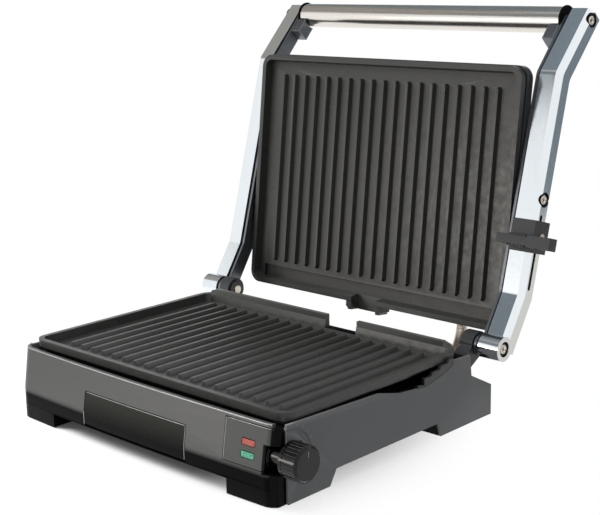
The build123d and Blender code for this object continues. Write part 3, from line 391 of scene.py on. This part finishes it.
def board_look():
    """Green circuit board with paler tracks."""
    look = Look("board_laminate", rgb(20, 80, 40), 0.4, coat=0.3)
    tracks = look.node("ShaderNodeTexBrick", {"Scale": 260})
    look.link(look.mapped(), tracks.inputs["Vector"])
    look.drive(look.mix(tracks.outputs["Fac"], rgb(20, 78, 40), rgb(70, 130, 60)), "Base Color")
    look.grain(1800, 0.1)
    return look.mat


def element_look():
    """Sheath of a heating element, browned in places."""
    look = Look("element_sheath", (0.3, 0.29, 0.28, 1), 0.45, metal=1.0)
    look.vary_color(40, (0.22, 0.17, 0.15, 1), 0.4, 0.7).vary_rough(300, 0.1).grain(1500, 0.2)
    return look.mat


black = dark_plastic("gloss_black", 6, 0.26, 0.04)
soft_black = dark_plastic("satin_black", 46, 0.34, 0.45)
knob_black = dark_plastic("knob_black", 6, 0.14, 0.3)
grey = side_painted_reflection()
# one coating in lit and shaded copies: painted paler on the lower plate, with paler edges, and
# darker on the upper
lower_coat = coating("lower_plate_coating", 57, 0.34, 0.45, 45, 0.52)
upper_coat = coating("upper_plate_coating", 48, 0.34, 0.42, 26, 0.56)
arm_metal = polished_aluminium()
tube_metal = tube_steel()
dark_steel = plain_metal("dark_steel", (0.2, 0.21, 0.23, 1), 0.36)
screw_metal = plain_metal("screw_steel", (0.66, 0.6, 0.53, 1), 0.24)
sheet_metal = plain_metal("sheet_steel", (0.5, 0.5, 0.5, 1), 0.35, 900, (0.03, 1, 1))
cover_metal = plain_metal("cover_brushed_steel", (0.58, 0.58, 0.57, 1), 0.3, 1400, (0.02, 1, 1))
brass_metal = plain_metal("bush_brass", (0.75, 0.58, 0.3, 1), 0.3)
fascia_mat = fascia_painted_reflection_look()
tray_mat = tray_painted_sheen_look()
edge_mat = plain_metal("edge_line", (0.5, 0.5, 0.49, 1), 0.3)
fascia_edge_highlight_mat = plain_metal("fascia_edge_highlight", (0.42, 0.42, 0.415, 1), 0.35)
mark_mat = print_look("print_white", neutral(190, -4))
panel_mat = panel_look()
red_mat = lens_look("red_lens", rgb(228, 112, 84), rgb(180, 62, 44))
green_mat = lens_look("green_lens", rgb(118, 226, 184), rgb(56, 160, 122))
rubber = rubber_look()
board_mat = board_look()
conduit_metal = plain_metal("conduit_steel", (0.7, 0.6, 0.5, 1), 0.38, 260, (1, 1, 1), 0.01)
element_mat = element_look()

LOOKS = {
    "base_housing": black,
    "rubber_feet": rubber,
    "bottom_cover": soft_black,
    "left_side_panel": grey,
    "right_side_panel": grey,
    "front_fascia": fascia_mat,
    "control_panel": panel_mat,
    "red_lamp_lens": red_mat,
    "green_lamp_lens": green_mat,
    "indicator_board": board_mat,
    "thermostat": sheet_metal,
    "knob_collar": knob_black,
    "temperature_knob": knob_black,
    "drip_tray_front": tray_mat,
    "drip_tray": soft_black,
    "lower_grill_plate": lower_coat,
    "upper_grill_plate": upper_coat,
    "lower_heating_element": element_mat,
    "upper_heating_element": element_mat,
    "lower_heat_reflector": sheet_metal,
    "upper_housing": soft_black,
    "upper_cover": cover_metal,
    "pivot_bushes": brass_metal,
    "left_hinge_lug": soft_black,
    "right_hinge_lug": soft_black,
    "left_arm": arm_metal,
    "right_arm": arm_metal,
    "left_inner_strap": dark_steel,
    "right_inner_strap": dark_steel,
    "arm_spacers": dark_steel,
    "hinge_pins": screw_metal,
    "hinge_end_caps": soft_black,
    "pivot_pins": screw_metal,
    "handle_screws": screw_metal,
    "handle_tube": tube_metal,
    "handle_end_rings": black,
    "handle_brackets": dark_steel,
    "slider_sleeve": soft_black,
    "lock_bar": soft_black,
    "slider_pin": screw_metal,
    "height_rack": soft_black,
    "conduit": conduit_metal,
    "conduit_gland": soft_black,
    "cord_gland": soft_black,
    "terminal_block": soft_black,
}
for node_name, look in LOOKS.items():
    mesh = nodes[node_name].data
    mesh.materials.clear()
    mesh.materials.append(look)


# ------------------------------------------------------------------ helpers for pieces
def new_object(name, data):
    """An object in the scene."""
    obj = bpy.data.objects.new(name, data)
    bpy.context.scene.collection.objects.link(obj)
    return obj


def add_object(name, mesh, body, mat):
    """A visible piece, which rides on a body unless that is None."""
    obj = new_object(name, mesh)
    mesh.materials.clear()
    mesh.materials.append(mat)
    if body:
        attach(obj, body)
    return obj


def circle(centre, across, other, radius, sides):
    """Points round a centre, in the plane of two unit vectors."""
    angles = [2 * math.pi * side / sides for side in range(sides)]
    return [centre + (across * math.cos(a) + other * math.sin(a)) * radius for a in angles]


def skinned(rings, smooth=True):
    """A closed skin over rings of points, with a flat cap at each end."""
    bm = bmesh.new()
    loops = [[bm.verts.new(point) for point in ring] for ring in rings]
    for a, b in zip(loops[:-1], loops[1:]):
        for index in range(len(a)):
            after = (index + 1) % len(a)
            face = bm.faces.new((a[index], a[after], b[after], b[index]))
            face.smooth = smooth
    bm.faces.new(loops[0])
    bm.faces.new(loops[-1])
    bmesh.ops.recalc_face_normals(bm, faces=bm.faces)
    return bm


def mesh_from(bm, name):
    """A mesh from a bmesh, which is used up."""
    mesh = bpy.data.meshes.new(name)
    bm.to_mesh(mesh)
    bm.free()
    return mesh


def final_mesh(obj):
    """An object's mesh with its modifiers, or a curve's as a mesh."""
    deps = bpy.context.evaluated_depsgraph_get()
    return bpy.data.meshes.new_from_object(obj.evaluated_get(deps))


# ------------------------------------------------------------------ pieces from the solids
MERGE_WITHIN = 0.01 * MM
FLAT_WITHIN = math.radians(0.6)
ROUND_FROM = math.radians(28.0)
ROUND_SEGMENTS = 3
NORMAL_WEIGHT = 80


def softened(node_name, width):
    """A copy of a solid with small rounds on its sharp edges, which stands for the node."""
    mesh = nodes[node_name].data.copy()
    mesh.name = node_name + "_soft"
    bm = bmesh.new()
    bm.from_mesh(mesh)
    bmesh.ops.remove_doubles(bm, verts=bm.verts, dist=MERGE_WITHIN)
    inner = [edge for edge in bm.edges if len(edge.link_faces) == 2]
    bmesh.ops.dissolve_limit(bm, angle_limit=FLAT_WITHIN, verts=bm.verts, edges=inner)
    for face in bm.faces:
        face.smooth = True
    bm.to_mesh(mesh)
    bm.free()
    for attribute in ("custom_normal", "sharp_edge", "sharp_face"):
        if attribute in mesh.attributes:
            mesh.attributes.remove(mesh.attributes[attribute])
    obj = new_object(node_name + "_round", mesh)
    bevel = obj.modifiers.new("round", "BEVEL")
    bevel.width = width * MM
    bevel.segments = ROUND_SEGMENTS
    bevel.limit_method = "ANGLE"
    bevel.angle_limit = ROUND_FROM
    bevel.use_clamp_overlap = True
    bevel.miter_outer = "MITER_ARC"
    weighted = obj.modifiers.new("weighted", "WEIGHTED_NORMAL")
    weighted.mode = "FACE_AREA"
    weighted.weight = NORMAL_WEIGHT
    final = final_mesh(obj)
    obj.modifiers.clear()
    obj.data = final
    final.materials.clear()
    final.materials.append(LOOKS[node_name])
    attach(obj, node_body[node_name])
    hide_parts(node_name)


# width of the round on each, in mm
ROUNDS = {
    "front_fascia": 1.1,
    "drip_tray_front": 0.7,
    "control_panel": 0.5,
    "left_side_panel": 0.6,
    "right_side_panel": 0.6,
    "left_arm": 0.7,
    "right_arm": 0.7,
    "lower_grill_plate": 0.9,
    "upper_grill_plate": 0.9,
    "slider_sleeve": 0.6,
    "lock_bar": 0.8,
    "left_hinge_lug": 0.7,
    "right_hinge_lug": 0.7,
    "height_rack": 0.4,
    "upper_housing": 1.2,
    "handle_brackets": 0.7,
    "handle_end_rings": 0.6,
    "knob_collar": 0.5,
}
for node_name, width in ROUNDS.items():
    softened(node_name, width)

# ------------------------------------------------------------------ rear wall of the lower plate
# its front and rear in y, and the sloping ends' outline as (distance from the middle, z)
WALL_DEPTH = (84.1, 87.9)
WALL_END = ((130.5, 63.5), (139.2, 63.5), (137.0, 66.6), (130.5, 68.5))
WALL_ROUND = 0.25 * MM

for side, word in SIDES:
    bm = skinned([[at(side * x, y, z) for x, z in WALL_END] for y in WALL_DEPTH], smooth=False)
    bmesh.ops.bevel(bm, geom=bm.edges[:], offset=WALL_ROUND, segments=2, affect="EDGES")
    name = "rear_wall_%s_end" % word
    add_object(name, mesh_from(bm, name), "base", lower_coat)

# ------------------------------------------------------------------ lines on the front
# In plan the front is bowed between rounded corners. It stands upright below the crease
# and leans back above it.
BASE_FRONT = -124.5
FRONT_TURN = 136.5
FRONT_BOW = 2.5
FRONT_LEAN = 5.5
CORNER = 12.0
CREASE_Z = 25.0
TOP_Z = 59.0
LINE_SIDES = 8
# a line that rises more steeply than this has its section squared with x, not with z
STEEP = 0.9


def front_point(x, z, out=0.0):
    """A point on the bowed, leaning front of the base, or a little out from it."""
    lean = FRONT_LEAN * max(z - CREASE_Z, 0.0) / (TOP_Z - CREASE_Z)
    if abs(x) <= FRONT_TURN:
        y = BASE_FRONT - FRONT_BOW * (1 - (x / FRONT_TURN) ** 2)
    else:
        past = min(abs(x) - FRONT_TURN, CORNER)
        y = BASE_FRONT + CORNER - math.sqrt(CORNER ** 2 - past ** 2)
    return at(x, y + lean - out, z)


def along_front(start, end, count, depth, reach=1.0):
    """Points just under the front, on a straight line from one (x, z) towards another."""
    (x0, z0), (x1, z1) = start, end
    return [
        front_point(x0 + (x1 - x0) * t, z0 + (z1 - z0) * t, -depth)
        for t in span(0.0, reach, count)
    ]


def line_piece(name, points, radius, mat, body):
    """Thin round line through some points, with its radius in mm, such as a painted highlight
    along an edge.
    """
    rings = []
    for index, point in enumerate(points):
        after, before = points[min(index + 1, len(points) - 1)], points[max(index - 1, 0)]
        ahead = (after - before).normalized()
        helper = Vector((0, 0, 1)) if abs(ahead.z) < STEEP else Vector((1, 0, 0))
        across = ahead.cross(helper).normalized()
        rings.append(circle(point, across, ahead.cross(across), radius * MM, LINE_SIDES))
    return add_object(name, mesh_from(skinned(rings), name), body, mat)


# bright metal lines laid on as painted highlights along the fascia's top edge, the tray's top
# and right edges, the seam beside the tray and the control panel's top and left edges
# name, first and last (x, z), number of points, depth, radius, look, body and slot
FRONT_LINES = (
    ("fascia_top_edge", (-148.0, TOP_Z - 0.55), (140.6, TOP_Z - 0.55), 60, 0.45, 0.75,
     fascia_edge_highlight_mat, "base", "fascia_metal"),
    ("tray_top_line", (-58.0, 39.9), (58.0, 39.9), 24, 0.1, 0.28,
     edge_mat, "tray", "fascia_metal"),
    ("tray_right_line", (58.2, 14.6), (58.2, 39.8), 12, 0.1, 0.2,
     edge_mat, "tray", "fascia_metal"),
    ("tray_left_seam", (-59.2, 13.4), (-59.2, 24.6), 8, 0.12, 0.22,
     edge_mat, "base", "fascia_metal"),
    ("panel_top_line", (98.5, 55.5), (140.2, 55.5), 14, 0.1, 0.22,
     edge_mat, "base", "panel_plastic"),
    ("panel_left_line", (98.3, 25.8), (98.3, 55.5), 12, 0.1, 0.2,
     edge_mat, "base", "panel_plastic"),
)
for name, start, end, count, depth, radius, mat, body, slot in FRONT_LINES:
    line_piece(name, along_front(start, end, count, depth), radius, mat, body)

# fine dark frames round the lamps' lenses, each side ending just short of its corner
LAMP_LEFT, LAMP_RIGHT = 114.9, 127.1
LAMP_HALF_HEIGHT = 2.2
for name, middle in (("red_lamp_bezel", 42.4), ("green_lamp_bezel", 33.6)):
    low, high = middle - LAMP_HALF_HEIGHT, middle + LAMP_HALF_HEIGHT
    corners = [(LAMP_LEFT, low), (LAMP_RIGHT, low), (LAMP_RIGHT, high), (LAMP_LEFT, high)]
    points = []
    for start, end in zip(corners, corners[1:] + corners[:1]):
        points += along_front(start, end, 8, depth=0.12, reach=0.96)
    line_piece(name, points + points[:1], 0.24, black, "base")

# ------------------------------------------------------------------ knob
KNOB = (-109.5, 33.6)
KNOB_END = 165.5
# profiles about the knob's axis, as (x, radius)
KNOB_FACE = ((KNOB_END - 1.2, 10.4), (KNOB_END - 0.16, 10.4), (KNOB_END - 0.02, 10.1))
KNOB_RIM = ((149.25, 13.1), (149.4, 13.38), (151.2, 13.38), (151.4, 13.1))
KNOB_SIDES = 72
# the pointer's radii, and the scale on the side panel: its x, radii, ticks and degrees
POINTER_RADII = (5.4, 9.6)
SCALE_X = 148.42
SCALE_RADII = (22.6, 24.4)
SCALE_TICKS = 7
SCALE_START = -12
SCALE_SWEEP = 92


def disc(name, rings, centre, side, mat, body, sides=KNOB_SIDES):
    """Turned piece about an axis along X: rings are (x, radius), mirrored if side is -1."""
    across, other = Vector((0, 1, 0)), Vector((0, 0, 1))
    loops = [circle(at(side * x, *centre), across, other, r * MM, sides) for x, r in rings]
    return add_object(name, mesh_from(skinned(loops), name), body, mat)


def spun_look():
    """Dark metal with turning marks round the knob's axis."""
    look = Look("knob_spun_face", neutral(38), 0.3, metal=0.55)
    values = {"Scale": 900, "Distortion": 0.4}
    rings = look.node("ShaderNodeTexWave", values, wave_type="RINGS", rings_direction="X")
    look.link(look.mapped(shift=-at(0, *KNOB)), rings.inputs["Vector"])
    look.bump(rings.outputs["Fac"], 0.12, 0.1 * MM)
    look.vary_rough(500, 0.05)
    return look.mat


disc("knob_face", KNOB_FACE, KNOB, 1, spun_look(), "knob")
disc("knob_rear_edge", KNOB_RIM, KNOB, 1, edge_mat, "knob")
points = [at(KNOB_END - 0.12, KNOB[0], KNOB[1] + r) for r in span(*POINTER_RADII, 8)]
line_piece("knob_pointer", points, 0.35, mark_mat, "knob")
for index in range(SCALE_TICKS):
    angle = math.radians(SCALE_START + SCALE_SWEEP * index / (SCALE_TICKS - 1))
    points = [
        at(SCALE_X, KNOB[0] + r * math.sin(angle), KNOB[1] + r * math.cos(angle))
        for r in span(*SCALE_RADII, 4)
    ]
    line_piece("scale_tick_%d" % index, points, 0.22, mark_mat, "base")

# ------------------------------------------------------------------ screws
# the head's seat in x, and profiles from it as (distance out, radius)
SEAT = ARM_OUTER - 2.4
HEAD = ((0.0, 3.8), (1.4, 3.8), (1.9, 3.4), (2.05, 2.0), (0.9, 1.8))
# the black ring round the head is painted shade in the recess that the screw sits in
RECESS_SHADE_RING = ((0.02, 6.1), (0.3, 6.1), (0.3, 3.7), (0.02, 3.7))
# bevel of the shank's inner end, along the axis and across it
BEVEL_LENGTH, BEVEL_DEPTH = 0.4, 0.3
SCREW_SIDES = 48

# the node that each pair stands for: its axis, the shank's radius and its inner end's x
SCREW_SETS = {
    "hinge_pins": (HINGE, 4.0, 131.2),
    "pivot_pins": (PIVOT, 2.5, 141.6),
    "handle_screws": (TUBE, 3.0, 132.6),
}
for node_name, (centre, shank, tip) in SCREW_SETS.items():
    for side, word in SIDES:
        name = "%s_%s" % (node_name, word)
        head = [(tip, shank - BEVEL_DEPTH), (tip + BEVEL_LENGTH, shank), (SEAT, shank)]
        head += [(SEAT + out, radius) for out, radius in HEAD]
        shade_ring = [(SEAT + out, radius) for out, radius in RECESS_SHADE_RING]
        disc(name + "_head", head, centre, side, screw_metal,
                           "lid_frame", SCREW_SIDES)
        disc(name + "_recess_shade", shade_ring, centre, side, black,
             "lid_frame", SCREW_SIDES)
    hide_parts(node_name)

# ------------------------------------------------------------------ conduit
# control points of the hose, from the gland in the base to the one in the upper housing
CONDUIT = (
    at(110, 115, 27), at(111.5, 121.0, 40), on_plate(99, -13.7, -11), on_plate(99, -1.2, -11),
)
HOSE_RADIUS = 4.5 * MM
# its rings: their pitch, the depth between them and the power that shapes their crests
RING_PITCH = 2.2 * MM
RING_DEPTH = 0.02 * MM
RING_SHAPE = 0.6
STEPS_IN_RING = 6
HOSE_SIDES = 28
# a direction that the hose never runs in, to square its section with
HOSE_HELPER = Vector((0, 1, 0.2))
ROUTE_POINTS = 40
# how far each way the hose looks for its direction, and the shortest step that counts
LOOK_AROUND = 0.8 * MM
SHORTEST = 1e-9
# the share of the route's points at which the hose is split into its two pieces
PLATE_FROM = 0.9


def route(points):
    """Points along a smooth line through the bends of a route."""
    curve = bpy.data.curves.new("route", "CURVE")
    curve.dimensions = "3D"
    spline = curve.splines.new("NURBS")
    spline.points.add(len(points) - 1)
    for target, point in zip(spline.points, points):
        target.co = (*point, 1.0)
    spline.order_u = 3
    spline.use_endpoint_u = True
    spline.resolution_u = ROUTE_POINTS
    holder = new_object("route", curve)
    line = [v.co.copy() for v in final_mesh(holder).vertices]
    bpy.data.objects.remove(holder)
    return line


def distances(line):
    """The distance along a line at each of its points."""
    found = [0.0]
    for a, b in zip(line[:-1], line[1:]):
        found.append(found[-1] + (b - a).length)
    return found


def point_at(line, lengths, distance):
    """The point that lies at a distance along a line, or its nearer end."""
    distance = min(max(distance, 0.0), lengths[-1])
    for i in range(1, len(lengths)):
        if lengths[i] >= distance:
            step = lengths[i] - lengths[i - 1]
            part = (distance - lengths[i - 1]) / step if step > SHORTEST else 0.0
            return line[i - 1].lerp(line[i], part)
    return line[-1]


def hose(name, line, low, high):
    """Metal hose with fine rings along a line, from one share of its length to another."""
    lengths = distances(line)
    total = lengths[-1]
    steps = int((high - low) * total / (RING_PITCH / STEPS_IN_RING))
    rings = []
    for step in range(steps + 1):
        distance = total * low + (high - low) * total * step / steps
        after = point_at(line, lengths, distance + LOOK_AROUND)
        before = point_at(line, lengths, distance - LOOK_AROUND)
        ahead = (after - before).normalized()
        across = ahead.cross(HOSE_HELPER).normalized()
        wave = 0.5 + 0.5 * math.cos(2 * math.pi * distance / RING_PITCH)
        radius = HOSE_RADIUS - RING_DEPTH * (1 - wave ** RING_SHAPE)
        centre = point_at(line, lengths, distance)
        rings.append(circle(centre, across, ahead.cross(across), radius, HOSE_SIDES))
    return add_object(name, mesh_from(skinned(rings), name), None, conduit_metal)


# The hose is made in two pieces, split at nine tenths of its route's points, with its bend
# behind the rear wall; neither rides on a body.
conduit_line = route(CONDUIT)
conduit_lengths = distances(conduit_line)
split_at = int(len(conduit_line) * PLATE_FROM)
share = conduit_lengths[split_at] / conduit_lengths[-1]
lower = hose("conduit_lower", conduit_line, 0.0, share)
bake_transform(lower)
upper = hose("conduit_upper", conduit_line, share, 1.0)
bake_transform(upper)
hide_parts("conduit")

# ------------------------------------------------------------------ camera
# Found by matching points of the part. Measures of the picture are in pixels.
PICTURE = (600, 515)
PRINCIPAL_POINT = (300.36, 251.66)
FOCAL_LENGTH = 1284.4
SENSOR_WIDTH = 36.0
EYE = at(721.2, -697.6, 364.0)
AHEAD = (-0.6721, 0.7068, -0.2210)
RIGHT = (0.7277, 0.6856, -0.0204)

camera_data = bpy.data.cameras.new("camera")
camera = new_object("camera", camera_data)
ahead = Vector(AHEAD).normalized()
right = Vector(RIGHT).normalized()
right = (right - ahead * right.dot(ahead)).normalized()
turned = Matrix((right, right.cross(ahead), -ahead)).transposed().to_4x4()
turned.translation = EYE
camera.matrix_world = turned
camera_data.sensor_width = SENSOR_WIDTH
camera_data.lens = FOCAL_LENGTH / PICTURE[0] * SENSOR_WIDTH
camera_data.shift_x = (PICTURE[0] / 2 - PRINCIPAL_POINT[0]) / PICTURE[0]
camera_data.shift_y = (PRINCIPAL_POINT[1] - PICTURE[1] / 2) / PICTURE[0]
camera_data.clip_start = 0.05
camera_data.clip_end = 50.0
bpy.context.scene.camera = camera

# ------------------------------------------------------------------ world, floor, cards, lamps
WHITE = (1, 1, 1, 1)
SKY = (0.93, 0.96, 1.0, 1)
SKY_STRENGTH = 0.33
FLOOR_GREY = (0.92, 0.92, 0.92, 1)
FLOOR_HALF = 0.6
# the floor is whole up to one distance from this point and gone at another, in metres
FADE_CENTRE = (-0.08, -0.1, 0.0)
FLOOR_SOLID = 0.13
FLOOR_GONE = 0.275
COOL = (0.76, 0.9, 1.0, 1)
WARM = (1.0, 0.95, 0.88, 1)


def mixed(tree, factor, first, second):
    """A mix of two shaders."""
    node = add_node(tree, "ShaderNodeMixShader")
    for index, source in enumerate((factor, first, second)):
        tree.links.new(source, node.inputs[index])
    return node.outputs[0]


def paint_world(tree):
    """White where it is seen, mirrored or looked at through glass; pale blue light if not."""
    tree.nodes.clear()
    path = add_node(tree, "ShaderNodeLightPath")
    seen = path.outputs["Is Camera Ray"]
    for kind in ("Is Glossy Ray", "Is Transmission Ray"):
        either = add_node(tree, "ShaderNodeMath", operation="MAXIMUM")
        tree.links.new(seen, either.inputs[0])
        tree.links.new(path.outputs[kind], either.inputs[1])
        seen = either.outputs[0]
    soft = add_node(tree, "ShaderNodeBackground", {"Color": SKY, "Strength": SKY_STRENGTH})
    white = add_node(tree, "ShaderNodeBackground", {"Color": WHITE, "Strength": 1.0})
    both = mixed(tree, seen, soft.outputs[0], white.outputs[0])
    tree.links.new(both, add_node(tree, "ShaderNodeOutputWorld").inputs[0])


def floor_material():
    """Pale floor that fades into the white backdrop a little way out from the feet."""
    mat = bpy.data.materials.new("floor")
    mat.use_nodes = True
    tree = mat.node_tree
    bsdf = tree.nodes["Principled BSDF"]
    set_inputs(bsdf, {
        "Base Color": FLOOR_GREY,
        "Emission Color": WHITE,
        "Emission Strength": 0.03,
        "Roughness": 0.5,
        "Specular IOR Level": 0.1,
    })
    coords = add_node(tree, "ShaderNodeTexCoord")
    away = add_node(tree, "ShaderNodeVectorMath", operation="DISTANCE")
    away.inputs[1].default_value = FADE_CENTRE
    tree.links.new(coords.outputs["Object"], away.inputs[0])
    values = {"From Min": FLOOR_SOLID, "From Max": FLOOR_GONE}
    fade = add_node(tree, "ShaderNodeMapRange", values, interpolation_type="SMOOTHSTEP")
    tree.links.new(away.outputs["Value"], fade.inputs["Value"])
    clear = add_node(tree, "ShaderNodeBsdfTransparent")
    both = mixed(tree, fade.outputs["Result"], bsdf.outputs[0], clear.outputs[0])
    tree.links.new(both, tree.nodes["Material Output"].inputs[0])
    return mat


def rectangle(name, width, height, mat):
    """A flat object round the origin, facing up."""
    square = ((-1, -1), (1, -1), (1, 1), (-1, 1))
    corners = [(x * width / 2, y * height / 2, 0) for x, y in square]
    mesh = bpy.data.meshes.new(name)
    mesh.from_pydata(corners, [], [(0, 1, 2, 3)])
    mesh.materials.append(mat)
    return new_object(name, mesh)


def aimed(place, target, axis):
    """The matrix of an object at a place, with an axis of its own turned to a target."""
    direction = (Vector(target) - Vector(place)).normalized()
    turn = direction.to_track_quat(axis, "Y").to_matrix().to_4x4()
    return Matrix.Translation(place) @ turn


def card(name, centre, facing, width, height, color, strength):
    """A studio card that only shows in reflections."""
    mat = bpy.data.materials.new(name)
    mat.use_nodes = True
    tree = mat.node_tree
    tree.nodes.clear()
    glow = add_node(tree, "ShaderNodeEmission", {"Color": color, "Strength": strength})
    tree.links.new(glow.outputs[0], add_node(tree, "ShaderNodeOutputMaterial").inputs[0])
    obj = rectangle(name, width, height, mat)
    obj.matrix_world = aimed(centre, facing, "Z")
    obj.visible_camera = False
    obj.visible_diffuse = False
    obj.visible_shadow = False
    obj.visible_transmission = False


def lamp(name, place, target, size, power):
    """Square soft lamp that is aimed at a point and doesn't show in reflections."""
    data = bpy.data.lights.new(name, "AREA")
    data.shape = "RECTANGLE"
    data.size = size
    data.size_y = size
    data.energy = power
    obj = new_object(name, data)
    obj.matrix_world = aimed(place, target, "-Z")
    obj.visible_glossy = False


world = bpy.data.worlds.new("studio")
bpy.context.scene.world = world
world.use_nodes = True
paint_world(world.node_tree)

floor = rectangle("floor", 2 * FLOOR_HALF, 2 * FLOOR_HALF, floor_material())

# high in front on the left: warm grey for the handle and the left arm's end
card("card_front_warm", (-1.21, -0.17, 1.28), (-0.01, 0.35, 0.28), 1.46, 0.8, WARM, 0.34)
# next to it: blue-grey for the right arm's low end and hinge barrel
card("card_front_cool", (-0.75, -1.23, 1.28), (0.45, -0.71, 0.28), 0.84, 0.8, COOL, 0.22)
# blue-grey overhead and behind, for the right arm's high end
card("card_overhead", (-0.9, 1.1, 1.7), (-0.2, 0.4, 0.0), 3.4, 2.6, COOL, 0.25)
# blue-grey on the floor and wall far to the right rear, for the arms' upper outer sides
card("card_far_floor", (1.92, 1.88, -0.02), (1.92, 1.88, 1.0), 2.6, 2.6, COOL, 0.24)
card("card_far_wall", (1.45, 2.1, 0.2), (0.16, 0.16, 0.2), 2.4, 0.5, COOL, 0.24)
# dark card to the right, for the right flanks of the ridges
card("card_right", (1.1, 0.15, 0.17), (0.0, 0.15, 0.17), 0.7, 0.55, COOL, 0.04)
# narrow bright card low in front on the left, for the highlight along the knob
card("card_glint", (-0.78, -1.32, 0.16), (0.15, -0.15, 0.03), 0.4, 0.3, WARM, 9.0)
# pale grey card on the floor near the right rear, for the lower outer sides of the arms
card("card_near_floor", (0.42, 0.5, -0.02), (0.42, 0.5, 1.0), 0.5, 0.6, WARM, 0.72)

lamp("key", (-1.5, -0.75, 1.05), (0, 0, 0.1), 0.8, 46)
lamp("top", (-0.2, -0.3, 1.9), (0, 0, 0.1), 1.6, 16)

scene = bpy.context.scene
scene.view_settings.view_transform = "Standard"
